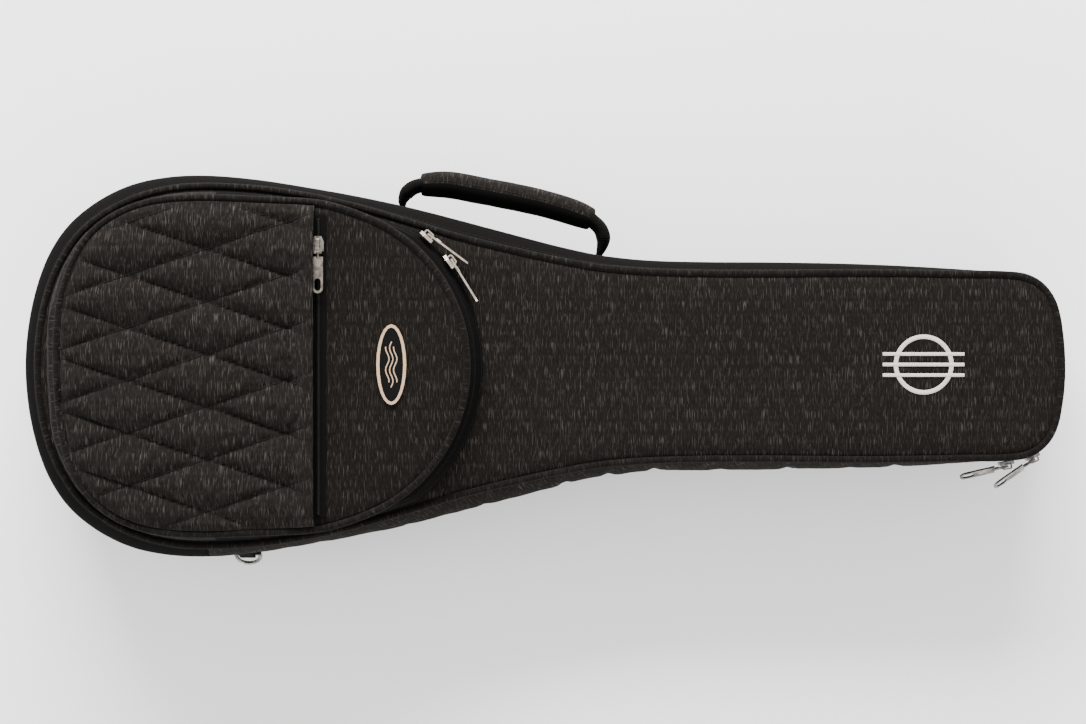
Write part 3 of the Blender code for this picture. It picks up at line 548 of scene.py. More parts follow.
CLOTH_MAIN = melange("melange_cloth", (0.0033, 0.00264, 0.00215), (0.00743, 0.00616, 0.00511),
                     (0.0341, 0.02976, 0.02604))
CLOTH_PIPING = melange("melange_piping", (0.00275, 0.00231, 0.00198), (0.00633, 0.00528, 0.00451),
                       (0.0279, 0.02418, 0.0217), 0.64)
POCKET_CLOTH = melange("melange_pocket", (0.00286, 0.00226, 0.00182), (0.00649, 0.00528, 0.00429),
                       (0.02976, 0.02542, 0.02232))
QUILT_CLOTH = melange("melange_quilt", (0.00374, 0.00308, 0.00253), (0.00853, 0.00715, 0.00605),
                      (0.03844, 0.03348, 0.02976))
TAPE = twill("zip_tape_cloth", (0.00198, 0.00176, 0.00165), (0.00413, 0.00374, 0.00352), 0.9 * MM)
WEBBING = twill("webbing_cloth", (0.00187, 0.00165, 0.00154), (0.0044, 0.00402, 0.00374), 1.6 * MM, 0.3 * MM)
BLACK_CLOTH = twill("smooth_black_cloth", (0.00187, 0.00171, 0.0016), (0.00374, 0.00341, 0.00319),
                    0.6 * MM, 0.06 * MM)
LINING = brushed_lining("brushed_lining", (0.0125, 0.0122, 0.0125), (0.0215, 0.021, 0.0215))
POCKET_LINING = twill("nylon_lining", (0.014, 0.014, 0.015), (0.026, 0.026, 0.028), 0.5 * MM, 0.05 * MM, 0.6)
COIL = moulded("nylon_coil", (0.0050, 0.0047, 0.0045), (0.0095, 0.009, 0.0087), 0.42)
THREAD = thread("black_thread", (0.0025, 0.0022, 0.0020), (0.006, 0.0054, 0.0050), 0.8)
# Near-black quilting thread: partly real thread, partly painted shade for the grooves along the quilting
# lines.
QUILT_THREAD_AND_GROOVE_SHADE = thread("quilting_thread_and_painted_groove_shade", (0.0006, 0.0006, 0.0006), (0.0015, 0.0014, 0.0013), 0.9)
EMBLEM_THREAD = thread("silver_thread", (0.42, 0.395, 0.35), (0.68, 0.655, 0.60), 0.5)
NICKEL = plated_metal("bright_nickel", (0.50, 0.43, 0.355), (0.70, 0.62, 0.53))
# Nickel darkened as painted shade, for the slip zip's slider and pull in the shadow of the quilted panel's
# free edge.
SLIP_NICKEL_IN_PAINTED_SHADE = plated_metal("slip_nickel_in_painted_shade", (0.15, 0.13, 0.11), (0.34, 0.30, 0.26))
DARK_NICKEL = plated_metal("black_nickel", (0.085, 0.080, 0.078), (0.30, 0.28, 0.26))
BADGE_BLACK = moulded("badge_black", (0.0010, 0.0009, 0.0009), (0.0025, 0.0023, 0.0022), 0.6)
BADGE_BEIGE = moulded("badge_beige", (0.37, 0.25, 0.16), (0.46, 0.33, 0.22), 0.5)

# --- Stage --------------------------------------------------------------------------------------

BAG_MIDDLE = Vector((0, 0, 0.05))

scene = bpy.context.scene
world = bpy.data.worlds.new("soft_daylight")
world.use_nodes = True
world.node_tree.nodes["Background"].inputs["Color"].default_value = (1.0, 1.0, 1.0, 1.0)
world.node_tree.nodes["Background"].inputs["Strength"].default_value = 1.3
scene.world = world


def area_light(name, place, size, power):
    """A soft light that faces the middle of the bag; places and sizes are in metres."""
    light = bpy.data.lights.new(name, "AREA")
    light.shape = "RECTANGLE"
    light.size, light.size_y, light.energy = *size, power
    obj = bpy.data.objects.new(name, light)
    obj.location = place
    obj.rotation_euler = (BAG_MIDDLE - Vector(place)).to_track_quat("-Z", "Y").to_euler()
    scene.collection.objects.link(obj)


area_light("key_light", (-0.2, 1.9, 1.15), (1.8, 0.7), 190.0)
area_light("fill_light", (0.5, -2.0, 0.75), (1.8, 0.9), 40.0)
area_light("end_light", (-2.1, -0.3, 0.7), (1.0, 0.8), 22.0)

floor_cloth = Surface("pale_floor", 0.9).finish((0.96, 0.96, 0.96))
floor_mesh = bpy.data.meshes.new("floor")
FLOOR_HALF = 6.0
floor_corners = [(x * FLOOR_HALF, y * FLOOR_HALF, 0) for x, y in ((-1, -1), (1, -1), (1, 1), (-1, 1))]
floor_mesh.from_pydata(floor_corners, [], [(0, 1, 2, 3)])
new_object("floor", floor_mesh, floor_cloth)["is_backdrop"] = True

CAMERA_XY, CAMERA_HEIGHT = (-0.001, 0.0027), 1.505  # metres, and the height is above the front panel
camera = bpy.data.objects.new("camera", bpy.data.cameras.new("camera"))
camera.location = (*CAMERA_XY, FRONT_Z + CAMERA_HEIGHT)
camera.data.lens = 75
camera.data.sensor_width = 36
scene.collection.objects.link(camera)
scene.camera = camera

# --- Hard pieces: the frame's own, with worn edges ----------------------------------------------

HARD = {
    "main_first": DARK_NICKEL,
    "main_second": DARK_NICKEL,
    "pocket_first": NICKEL,
    "pocket_second": NICKEL,
    # The slip zip's slider and pull get the darkened nickel: painted shade.
    "slip": SLIP_NICKEL_IN_PAINTED_SHADE,
}


def finished(node, surface, bevel):
    """A frame piece shown in its real finish, with its edges rounded."""
    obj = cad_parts[node]
    for slot in obj.material_slots:
        slot.link = "OBJECT"
        slot.material = surface
    rounded = obj.modifiers.new("worn_edges", "BEVEL")
    rounded.width, rounded.segments, rounded.limit_method = bevel, 3, "ANGLE"
    rounded.angle_limit = math.radians(40)


for zip_name, metal in HARD.items():
    finished(zip_name + "_slider", metal, 0.3 * MM)
    finished(zip_name + "_pull", metal, 0.22 * MM)
finished("strap_ring", DARK_NICKEL, 0.2 * MM)
finished("badge_plate", BADGE_BLACK, 0.3 * MM)
finished("badge_rim", BADGE_BEIGE, 0.4 * MM)

# --- Walls --------------------------------------------------------------------------------------

SEAM_GAP = 0.4 * MM
GUSSET_LOW, TAPE_HIGH_Z = 2 * PIPING_RADIUS + SEAM_GAP, FRONT_Z - 2 * PIPING_RADIUS - SEAM_GAP
PUCKERS = ((-150, 0.8), (-92, 0.6), (-40, 1.0), (14, 2.0), (43, 1.7), (75, 2.2), (118, 0.9), (165, 2.1),
           (205, 0.7), (236, 1.6))  # place along X and depth of each, in mm
PUCKER_WIDTH, PUCKER_LEAN, PUCKER_Y = 3.5 * MM, 0.12, -30 * MM


def wall(levels, depth=0.0, scale=40 * MM, seed=0.0, span=None):
    """Sections of a wall from (z, loop) levels, with wrinkles, and with puckers on the hinge side."""
    rows = []
    for k, (z, loop) in enumerate(levels):
        points = lifted(loop, z)
        fade = max(0.0, math.sin(math.pi * k / (len(levels) - 1))) ** 0.7
        push = depth * fade * (wander(points, scale, seed) + 0.5 * wander(points, scale / 3, seed + 7))
        near = min(1, max(0, (z - 14 * MM) / (40 * MM))) * min(1, max(0, (TAPE_HIGH_Z - z) / (10 * MM)))
        for x, size in PUCKERS:
            away = loop[:, 0] - x * MM - PUCKER_LEAN * (z - ZIP_Z)
            push = push - (loop[:, 1] < PUCKER_Y) * near * size * MM * np.exp(-((away / PUCKER_WIDTH) ** 2))
        points[:, :2] += normals(loop) * push[:, None]
        rows.append(points[span] if span is not None else points)
    return rows


LOW_BULGE, HIGH_BULGE = 2.2, 1.5  # how roundly the side swells out from the back and from the front


def bulged(bulge):
    """The bag's outline between its piping's seam (0) and its widest (1)."""
    return SEAM + (SIDE - SEAM) * bulge


ZIP_SPAN, HINGE_SPAN = indices(SIDE, ZIP_START, ZIP_END), indices(SIDE, ZIP_END, ZIP_START)


def low_levels(count):
    for share in np.linspace(0, 1, count):
        yield GUSSET_LOW + (TAPE_LOW_Z - GUSSET_LOW) * share, bulged(1 - (1 - share) ** LOW_BULGE)


def high_levels(low_z, count):
    for share in np.linspace(0, 1, count):
        yield low_z + (TAPE_HIGH_Z - low_z) * share, bulged(1 - share ** HIGH_BULGE)


gusset = new_object("side_gusset_cloth", loft("side_gusset_cloth", wall(list(low_levels(22)), 1.3 * MM)),
                    CLOTH_MAIN, None, ["side_gusset", "side_foam"])
thicken(gusset, CLOTH)
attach(gusset, "bag_base")


def strip(name, sections, surface, stands_for, uv_turn=0.0):
    """A sewn strip of cloth through open sections."""
    mesh = loft(name, sections, closed=False, uv_turn=uv_turn)
    obj = new_object(name, mesh, surface, None, stands_for)
    return thicken(obj, CLOTH)


straight = [(z, SIDE) for z in np.linspace(TAPE_LOW_Z, ZIP_Z - 0.2 * MM, 5)]
straight = wall(straight, span=ZIP_SPAN)
tape_low = strip("zip_tape_lower", straight, TAPE, ["main_zip_tape_lower"])
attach(tape_low, "bag_base")
leaning = wall(list(high_levels(ZIP_Z + 0.1 * MM, 9)), 0.35 * MM, 60 * MM, span=ZIP_SPAN)
tape_high = strip("zip_tape_upper", leaning, TAPE, ["main_zip_tape_upper"])
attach(tape_high, "lid")
spine_levels = [(z, SIDE) for z in np.linspace(TAPE_LOW_Z, ZIP_Z, 7)][:-1] + list(high_levels(ZIP_Z, 10))
spine = strip("hinge_gusset_cloth", wall(spine_levels, 0.9 * MM, 30 * MM, 3.0, HINGE_SPAN), CLOTH_MAIN,
              ["hinge_gusset_lower", "hinge_gusset_upper"],
              0.5)
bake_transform(spine)


COIL_PITCH, COIL_RADIUS, COIL_OVERLAP = 1.5 * MM, 0.42 * MM, 0.7 * MM
CORDS = (("outer", 1.0, 0.5 * MM), ("inner", 0.55, 0.3 * MM))  # name, share of the rise, radius


def coil_pair(low_name, high_name, path, z, bodies, stands_for, rise=2.6 * MM, lean=0.0):
    """The two halves of a nylon coil, whose turns mesh at z, each with two cords along its tape."""
    line = resampled(path, COIL_PITCH / 2)
    away = normals(line, closed=False)
    for k, (name, body, node) in enumerate(zip((low_name, high_name), bodies, stands_for)):
        sign = -1 if k == 0 else 1
        turns, outwards = line[k::2], away[k::2]
        far = turns - outwards * (lean if sign > 0 else 0.0)
        starts, ends = lifted(far, z + sign * rise), lifted(turns, z - sign * COIL_OVERLAP)
        mesh = capsules(name, starts, ends, COIL_RADIUS, flat=1.25, up=lifted(outwards, 0))
        new_object(name, mesh, COIL, body, [node])
        for cord, share, radius in CORDS:
            cord_path = lifted(far + (turns - far) * (1 - share), z + sign * rise * share)
            cord_mesh = sweep(name + "_cord", cord_path, radius, sides=5)
            new_object(f"{name}_cord_{cord}", cord_mesh, COIL, body)


coil_line = offset(SIDE, -2.6 * MM)[indices(SIDE, ZIP_START + 1, ZIP_END - 1)]
coil_pair("zip_coil_lower", "zip_coil_upper", coil_line, ZIP_Z, ("bag_base", "lid"),
          ("main_zip_coil_lower", "main_zip_coil_upper"))

# --- Pipings and panels -------------------------------------------------------------------------


def piping(name, loop, z, body, stands_for, seed):
    """A covered cord around a seam, a little uneven."""
    path = lifted(loop, z)
    radii = PIPING_RADIUS * (1 + 0.05 * wander(path, 11 * MM, seed))
    mesh = sweep(name, path, radii, sides=14, closed=True)
    return new_object(name, mesh, CLOTH_PIPING, body, stands_for)


piping("front_piping_cord", SEAM, FRONT_Z - PIPING_RADIUS, "lid", ["front_piping"], 1.0)
piping("back_piping_cord", SEAM, PIPING_RADIUS, "bag_base", ["back_piping"], 2.0)


CREASE_X, CREASE_DEPTH, CREASE_WIDTH = 203 * MM, 0.9 * MM, 1.8 * MM


def panel(name, loop, rows, edge_z, rise, reach, surface, body, stands_for, seed, ripple,
          facing=1, creased=False):
    """A padded panel over a mirrored outline, domed up (or down, for facing -1) from its sewn edge."""
    flat = panel_points(loop, rows)
    distance = edge_distance(flat, loop)
    height = rise * (1 - np.exp(-distance / reach))
    waves = wander(flat, 55 * MM, seed) + 0.4 * wander(flat, 18 * MM, seed)
    height += ripple * (1 - np.exp(-distance / (12 * MM))) * waves
    if creased:
        away = flat[..., 0] - CREASE_X - 3 * MM * wander(flat, 60 * MM, seed + 5)
        height -= CREASE_DEPTH * np.exp(-((away / CREASE_WIDTH) ** 2)) * (1 - np.exp(-distance / (8 * MM)))
    points = np.dstack([flat, edge_z + facing * height])
    mesh = grid_mesh(name, points if facing > 0 else points[:, ::-1])
    obj = new_object(name, mesh, surface, None, stands_for)
    thicken(obj, CLOTH)
    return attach(obj, body) if body else obj


edge = offset(PANEL, 0.8 * MM)
front = panel("front_panel_cloth", edge, 110, FRONT_Z - 2.2 * MM, 3.6 * MM, 5 * MM, CLOTH_MAIN, "lid",
              ["front_panel", "front_foam"], 2.0, 0.5 * MM, creased=True)
panel("back_panel_cloth", edge, 60, 2.4 * MM, 1.9 * MM, 5 * MM, CLOTH_MAIN, "bag_base",
      ["back_panel", "back_foam"], 9.0, 0.2 * MM, facing=-1)
panel("lid_lining", offset(PANEL, -0.8 * MM), 60, 85.2 * MM, 2.2 * MM, 6 * MM, LINING, "lid",
      ["front_lining"], 4.0, 0.4 * MM, facing=-1)


def sections_of(loop, levels):
    """Sections from (height, distance outwards from loop) levels in mm."""
    return [lifted(offset(loop, out * MM), z * MM) for z, out in levels]


sections = sections_of(PANEL, [(85.1, -1.0), (86, -0.3), (88, 0.0), (92, 0.1), (95.5, 0.4)])
wrap = new_object("lid_edge_lining", loft("lid_edge_lining", sections), LINING, "lid")
panel("floor_lining", offset(SEAM, -15.1 * MM), 60, 14.4 * MM, 2.4 * MM, 8 * MM, LINING, "bag_base",
      ["back_lining"], 6.0, 0.6 * MM)
sections = sections_of(SEAM, [(13.5, -14.8), (18, -14.6), (26, -14.2), (36, -14.0), (48, -14.0), (60, -14.3),
                              (68, -14.4), (72.5, -13.6), (75, -11.2), (76, -8.0), (76.2, -5.0)])
sections += sections_of(SIDE, [(75.8, -4.0), (75.0, -2.6), (73.0, -1.8)])
for k, section in enumerate(sections[2:9]):
    push = 0.9 * MM * math.sin(math.pi * (k + 1) / 8) * wander(section, 45 * MM, 3.0)
    section[:, :2] += normals(section) * push[:, None]
mesh = loft("wall_lining", sections[::-1])
padding = new_object("wall_lining", mesh, LINING, "bag_base", ["side_lining"])

# --- Stitching ----------------------------------------------------------------------------------


def seam_row(name, loop, z, body, span, spacing=3.4 * MM):
    """A row of stitches on the outside of a wall, over a span of its outline's indices."""
    away = normals(loop)
    line = lifted(loop + away * 0.12 * MM, z)
    line = resampled(np.hstack([line, away])[span], spacing)
    starts, ends = line[:-1, :3], line[:-1, :3] + (line[1:] - line[:-1])[:, :3] * 0.74
    mesh = capsules(name, starts, ends, 0.32 * MM, flat=0.8, up=lifted(line[:-1, 3:5], 0))
    new_object(name, mesh, THREAD, body)


def cloth_tree(obj):
    """A tree for rays to meet an object's faces in, in the frame's coordinates."""
    mesh = obj.data
    return BVHTree.FromPolygons([v.co for v in mesh.vertices], [p.vertices for p in mesh.polygons])


def dropped(points, tree, lift):
    """2D points put on the top of a cloth, raised by lift."""
    placed = []
    for x, y in np.asarray(points)[:, :2]:
        hit = tree.ray_cast(Vector((x, y, 1.0)), Vector((0, 0, -1)))[0]
        placed.append((x, y, (hit.z if hit else 0.0) + lift))
    return np.array(placed)


UPPER_ROW = 0.78  # the upper row's share of the way from the zip up to the piping
inside_ends = ZIP_SPAN[4:-4]
row_z = ZIP_Z + (TAPE_HIGH_Z - ZIP_Z) * UPPER_ROW
seam_row("zip_upper_stitches", bulged(1 - UPPER_ROW ** HIGH_BULGE), row_z, "lid", inside_ends)
seam_row("zip_lower_stitches", SIDE, TAPE_LOW_Z + 3 * MM, "bag_base", inside_ends)

# --- Pocket -------------------------------------------------------------------------------------

FOLD_TOP, FOLD_BOTTOM = crossing(POCKET, FOLD_X, 1), crossing(POCKET, FOLD_X, -1)
POCKET_SPAN, PLAIN_SPAN = indices(POCKET, FOLD_TOP, FOLD_BOTTOM), indices(POCKET, FOLD_BOTTOM, FOLD_TOP)
WALL_LOW_Z, WALL_HIGH_Z = FRONT_Z + 0.3 * MM, POCKET_FACE_Z - 2 * PIPING_RADIUS - SEAM_GAP


def pocket_levels(first, last, count):
    """Levels of the pocket's wall between two shares of its height, where the zip is halfway up."""
    for share in np.linspace(first, last, count):
        z = WALL_LOW_Z + (POCKET_ZIP_Z - WALL_LOW_Z) * min(1, 2 * share)
        z += (WALL_HIGH_Z - POCKET_ZIP_Z) * max(0, 2 * share - 1)
        low, high = (POCKET_FOOT, POCKET_ZIP) if share < 0.5 else (POCKET_ZIP, POCKET_SEAM)
        yield z, low + (high - low) * (2 * share if share < 0.5 else 2 * share - 1)


def pocket_wall(name, levels, span, surface, body, node, depth):
    sections = wall(list(levels), depth, 24 * MM, 11.0, span)
    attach(strip(name, sections, surface, [node]), body)


pocket_wall("pocket_gusset_cloth", pocket_levels(0, 1, 14), PLAIN_SPAN, CLOTH_MAIN, "lid",
            "pocket_gusset_end", 1.2 * MM)
pocket_wall("pocket_tape_lower", pocket_levels(0, 0.49, 6), POCKET_SPAN, TAPE, "lid",
            "pocket_zip_tape_lower", 0.25 * MM)
pocket_wall("pocket_tape_upper", pocket_levels(0.51, 1, 5), POCKET_SPAN, TAPE, "pocket_flap",
            "pocket_zip_tape_upper", 0.2 * MM)
coil_line = offset(POCKET_ZIP, -2.7 * MM)[indices(POCKET_ZIP, FOLD_TOP + 2, FOLD_BOTTOM - 2)]
coil_pair("pocket_coil_lower", "pocket_coil_upper", coil_line, POCKET_ZIP_Z, ("lid", "pocket_flap"),
          ("pocket_zip_coil_lower", "pocket_zip_coil_upper"), rise=2.3 * MM, lean=3.2 * MM)
for share, body in ((0.2, "lid"), (0.66, "pocket_flap")):
    z, loop = next(pocket_levels(share, share, 1))
    seam_row(f"pocket_stitches_{body}", loop, z, body, POCKET_SPAN[3:-3], 3.0 * MM)

pocket_piping = piping("pocket_piping_cord", POCKET_SEAM, POCKET_FACE_Z - PIPING_RADIUS, None,
                       ["pocket_piping_end", "pocket_piping_flap"], 3.0)
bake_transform(pocket_piping)

face = panel("pocket_face_cloth", offset(POCKET, 0.8 * MM), 80, 117.9 * MM, 2.1 * MM, 5 * MM,
             [POCKET_CLOTH, POCKET_LINING], None, ["pocket_face_end", "pocket_face_flap"],
             5.0, 0.2 * MM)
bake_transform(face)

# The quilting: two crossing families of lines, sewn through to the backing.
QUILT_SLOPE, QUILT_PITCH, QUILT_CROSSING = 0.3316, 34.5 * MM, (-221.7 * MM, 7.9 * MM)
QUILT_FREE_X = -151.0 * MM  # its free edge, which stands over the flat pocket's zip
QUILT_LEAST, QUILT_PUFF = 0.9 * MM, 6.4 * MM
QUILT_BASE_Z, LIP_X, LIP_REACH, LIP_HEIGHT = 118.9 * MM, -168 * MM, 13 * MM, 10.6 * MM


def to_quilt_line(points, sign):
    """Distance from 2D points to the nearest quilting line that rises (sign 1) or falls (-1) towards +X."""
    along = points[..., 1] - QUILT_CROSSING[1] - sign * QUILT_SLOPE * (points[..., 0] - QUILT_CROSSING[0])
    return np.abs((along / QUILT_PITCH + 0.5) % 1 - 0.5) * QUILT_PITCH / math.hypot(1, QUILT_SLOPE)


def quilt_outline():
    """The upper side of the quilted panel, from its -X tip to its free edge."""
    loop = offset(POCKET, 0.4 * MM)
    upper = loop[: len(loop) // 2 + 1]
    upper = upper[upper[:, 0] < QUILT_FREE_X - 1 * MM]
    return resampled(np.vstack([upper, [QUILT_FREE_X, upper[-1][1]]]), 1.6 * MM)


def quilt_points():
    """The quilted panel's grid, with its distances to its sewn edge and to the nearest quilting line."""
    upper = quilt_outline()
    share = np.linspace(-1, 1, 136)
    flat = np.stack([upper[:, None, 0] + 0 * share[None], upper[:, None, 1] * share[None]], axis=2)
    sewn = edge_distance(flat, POCKET)
    rising, falling = to_quilt_line(flat, 1), to_quilt_line(flat, -1)
    wavy = 1 + 0.07 * wander(flat, 20 * MM, 8.0)
    deep = 1 - np.exp(-((falling / (4.2 * MM)) ** 0.8))
    shallow = 1 - 0.72 * np.exp(-((rising / (3.2 * MM)) ** 0.85))
    height = (QUILT_LEAST + QUILT_PUFF * deep * shallow * wavy) * (1 - np.exp(-sewn / (4.0 * MM)))
    share = np.clip((flat[..., 0] - LIP_X) / LIP_REACH, 0, 1)
    lip = share * share * (3 - 2 * share) * (1 - np.exp(-sewn / (9 * MM)))
    height = height * (1 - lip) + (LIP_HEIGHT + 0.3 * height) * lip
    height += 0.15 * MM * wander(flat, 9 * MM, 4.0) * (1 - np.exp(-sewn / (5 * MM)))
    return np.dstack([flat, QUILT_BASE_Z + height]), sewn, np.minimum(rising, falling)


CLOTH_FRAMES = 16


def settled(obj, held, cap):
    """Padding pushes the cloth up between its stitches for a moment, and no point moves further than cap."""
    before = np.array([v.co for v in obj.data.vertices])
    pins = obj.vertex_groups.new(name="sewn")
    for index, weight in enumerate(held):
        pins.add([index], float(weight), "REPLACE")
    cloth = obj.modifiers.new("cloth", "CLOTH")
    settings = cloth.settings
    settings.quality, settings.mass = 4, 0.3
    settings.vertex_group_mass = "sewn"
    settings.tension_stiffness = settings.compression_stiffness = 12
    settings.shear_stiffness, settings.bending_stiffness = 6, 0.4
    settings.shrink_min = -0.02
    settings.use_pressure, settings.uniform_pressure_force = True, 1.2
    settings.effector_weights.gravity = 0
    cloth.collision_settings.use_collision = False
    cloth.point_cache.frame_start, cloth.point_cache.frame_end = 1, CLOTH_FRAMES
    for frame_number in range(1, CLOTH_FRAMES + 1):
        scene.frame_set(frame_number)
    apply_modifiers(obj)
    scene.frame_set(1)
    after = np.array([v.co for v in obj.data.vertices])
    move = np.nan_to_num(after - before)
    size = np.linalg.norm(move, axis=1)[:, None]
    after = before + move * np.minimum(1, cap / np.maximum(size, 1e-9))
    obj.data.vertices.foreach_set("co", after.ravel())
    obj.vertex_groups.clear()


points, sewn, to_line = quilt_points()
quilt = new_object("quilted_cloth", grid_mesh("quilted_cloth", points), QUILT_CLOTH, None,
                   ["quilted_panel_end", "quilted_panel_flap"])
held = np.maximum(np.exp(-(to_line / (1.6 * MM)) ** 2), np.exp(-(sewn / (2.5 * MM)) ** 2))
held[-4:] = held[:3] = 1.0
settled(quilt, held.ravel(), 1.3 * MM)
thicken(quilt, 1.3 * MM)
quilt_tree = cloth_tree(quilt)
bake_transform(quilt)

THREADED_X = (-317 * MM, -153 * MM)
starts, ends = [], []
edge = quilt_outline()
for sign in (1, -1):
    for k in range(-12, 13):
        x = np.arange(*THREADED_X, 0.5 * MM)
        y = QUILT_CROSSING[1] + k * QUILT_PITCH + sign * QUILT_SLOPE * (x - QUILT_CROSSING[0])
        limit = np.interp(x, edge[:, 0], edge[:, 1]) - 3 * MM
        line = np.column_stack([x, y])[np.abs(y) < limit]
        if len(line) > 16:
            line = resampled(line, 3.6 * MM)
            here = dropped(line[:-1], quilt_tree, 0.15 * MM)
            after = dropped(line[:-1] + (line[1:] - line[:-1]) * 0.88, quilt_tree, 0.15 * MM)
            starts.append(here)
            ends.append(after)
# The quilting thread is thick, flattened and near black, so that besides the stitches it paints the shade in
# the quilting's grooves.
mesh = capsules("quilting_thread_with_groove_shade", np.vstack(starts), np.vstack(ends), 0.48 * MM, flat=0.6)
quilting = new_object("quilting_thread_with_groove_shade", mesh, QUILT_THREAD_AND_GROOVE_SHADE, None)
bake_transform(quilting)

low, high = box_of("slip_zip_tape")
across = np.linspace(low[0] - 0.5 * MM, high[0] + 0.5 * MM, 10)
down = np.linspace(low[1], high[1], 120)
flat = np.stack(np.meshgrid(across, down, indexing="ij"), axis=2)
points = np.dstack([flat, 120.9 * MM + 0.4 * MM * np.cos((flat[..., 0] - across[5]) / (2.2 * MM))])
slip_tape = new_object("slip_tape", grid_mesh("slip_tape", points), TAPE, None, ["slip_zip_tape"])
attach(thicken(slip_tape, 0.8 * MM), "pocket_flap")
coil_low, coil_high = box_of("slip_zip_coil")
y = np.arange(coil_low[1], coil_high[1], 0.75 * MM)
reach = np.where(np.arange(len(y)) % 2 == 0, 1.0, -1.0)
middle = (coil_low[0] + coil_high[0]) / 2
starts = np.column_stack([middle - reach * 0.5 * MM, y, np.full(len(y), 122.1 * MM)])
ends = np.column_stack([middle + reach * 1.3 * MM, y, np.full(len(y), 121.9 * MM)])
mesh = capsules("slip_coil", starts, ends, COIL_RADIUS)
new_object("slip_coil", mesh, COIL, "pocket_flap", ["slip_zip_coil"])

# --- Marks --------------------------------------------------------------------------------------


THREAD_STEP = 0.42 * MM


def satin(name, rows, tree, lift, body, stands_for=()):
    """Embroidery: threads laid side by side, each from a start to an end."""
    starts = dropped([row[0] for row in rows], tree, lift)
    ends = dropped([row[1] for row in rows], tree, lift)
    mesh = capsules(name, starts, ends, 0.3 * MM, flat=1.1)
    new_object(name, mesh, EMBLEM_THREAD, body, stands_for)


low, high = box_of("neck_mark")
centre, radius = (low + high)[:2] / 2, (high - low)[1] / 2
panel_tree = cloth_tree(front)
rows = []
for turn in np.arange(0, 2 * math.pi, THREAD_STEP / radius):
    way = np.array([math.cos(turn), math.sin(turn)])
    rows.append((centre + way * (radius - 3 * MM), centre + way * radius))
satin("neck_mark_ring", rows, panel_tree, 0.25 * MM, "lid", ["neck_mark"])
rows = []
for y in (centre[1] - 7 * MM, centre[1], centre[1] + 7 * MM):
    rows += [((x, y - 1.2 * MM), (x, y + 1.2 * MM)) for x in np.arange(low[0], high[0], THREAD_STEP)]
satin("neck_mark_strings", rows, panel_tree, 0.45 * MM, "lid")

low, high = box_of("badge_plate")
centre = (low + high)[:2] / 2
for number, shift in enumerate((-2.6 * MM, 0, 2.6 * MM)):
    run = np.linspace(-15 * MM, 15 * MM, 60) * (1 - 0.22 * abs(number - 1))
    swing = 1.1 * MM * np.sin(run / (2.3 * MM))
    path = lifted(np.column_stack([centre[0] + shift + swing, centre[1] + run]), high[2])
    mesh = sweep("badge_wave", path, 0.42 * MM, sides=8)
    new_object(f"badge_wave_{number}", mesh, BADGE_BEIGE, "pocket_flap")

# --- Handle and ring ----------------------------------------------------------------------------

HANDLE_Z = sum(box_of("handle_grip")[i][2] for i in (0, 1)) / 2
GRIP_RADIUS, GRIP_TALL = 9.4 * MM, 1.25
GRIP = np.array([(-86, 124.6), (-66, 124.5), (-46, 121), (-4, 112.5), (20, 105.5), (34, 100)]) * MM
path = lifted(resampled(spline(GRIP, 12, closed=False), 1.6 * MM), HANDLE_Z)
share = np.linspace(-1, 1, len(path))
tip = np.clip((np.abs(share) - 0.965) / 0.035, 0, 1)
radii = GRIP_RADIUS * (1 - 0.22 * np.abs(share) ** 6 - 0.6 * tip ** 2)
radii = radii * (1 + 0.02 * wander(path, 15 * MM, 2.0))
mesh = sweep("handle_grip_cloth", path, radii, sides=32, tall=GRIP_TALL)
grip = new_object("handle_grip_cloth", mesh, [CLOTH_MAIN, BLACK_CLOTH], "handle",
                  ["handle_grip"])
away = normals(path[:, :2], closed=False)
for polygon in mesh.polygons:  # melange cloth on the half towards +Y, darker smooth black cloth on the half towards the bag
    near = int(np.argmin(np.abs(path[:, 0] - polygon.center.x)))
    side = (np.array(polygon.center[:2]) - path[near, :2]) @ away[near]
    polygon.material_index = 0 if side > 0.5 * MM else 1
starts, ends = [], []
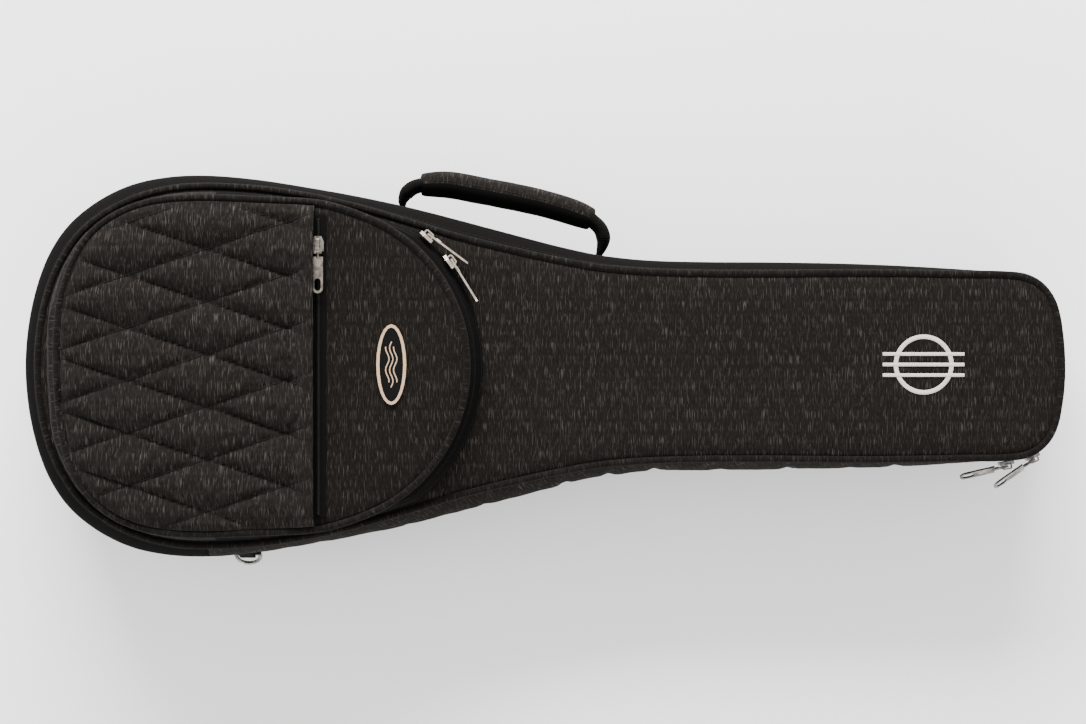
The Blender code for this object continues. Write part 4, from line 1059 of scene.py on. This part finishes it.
for side in (1, -1):
    edge = lifted(path + lifted(away, 0) * 1.9 * MM, path[:, 2] + side * radii * GRIP_TALL * 0.985)
    line = resampled(edge[6:-6], 3.4 * MM)
    starts.append(line[:-1])
    ends.append(line[:-1] + (line[1:] - line[:-1]) * 0.72)
mesh = capsules("handle_stitches", np.vstack(starts), np.vstack(ends), 0.33 * MM)
new_object("handle_stitches", mesh, THREAD, "handle")

LEG_HALF, LEG_TALL = 5.0 * MM, 2.0
LEGS = {
    "handle_leg_bottom": [(-97, 109), (-97.5, 113), (-95, 118.5), (-90, 122.6), (-83, 124.6)],
    "handle_leg_head": [(36.5, 75), (38.5, 79), (40.5, 87), (38.5, 94), (31, 101.5)],
}
for node, line in LEGS.items():
    leg = lifted(resampled(spline(np.array(line) * MM, 10, closed=False), 1.2 * MM), HANDLE_Z)
    share = np.linspace(0, 1, len(leg))
    radii = LEG_HALF * (0.3 + 0.7 * np.clip(share / 0.45, 0, 1) ** 0.8)  # flattened where it is sewn down
    mesh = sweep(node + "_webbing", leg, radii, sides=24, tall=LEG_TALL)
    leg_piece = new_object(node + "_webbing", mesh, WEBBING, "handle", [node])

low, high = box_of("ring_tab")
bar_y, bar_z = -130.59 * MM, 31 * MM  # the ring's straight bar, which the tab wraps
turn = np.linspace(math.pi, 2 * math.pi, 12)
profile = [(low[1] + 5.3 * MM, high[2]), (low[1] + 4.1 * MM, 43 * MM), (low[1] + 2.2 * MM, 36 * MM)]
profile += [(bar_y + 2.3 * MM * math.cos(a), bar_z + 2.3 * MM * math.sin(a)) for a in turn]
profile += [(bar_y + 2.6 * MM, 36 * MM), (bar_y + 3.0 * MM, 47 * MM)]
profile = resampled(spline(profile, 6, closed=False), 0.8 * MM)
width = np.linspace(low[0] - 0.1 * MM, high[0] + 0.1 * MM, 9)
points = np.array([[(x, y, z) for y, z in profile] for x in width])
at, _ = lengths(profile)
uv = np.array([[(x, s) for s in at] for x in width])
mesh = grid_mesh("ring_tab_webbing", points, uv)
tab = new_object("ring_tab_webbing", mesh, WEBBING, None, ["ring_tab"])
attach(thicken(tab, 1.2 * MM, 0.0), "bag_base")

bpy.context.view_layer.update()
note_size(cad=CAD_BOX, visual=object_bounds())
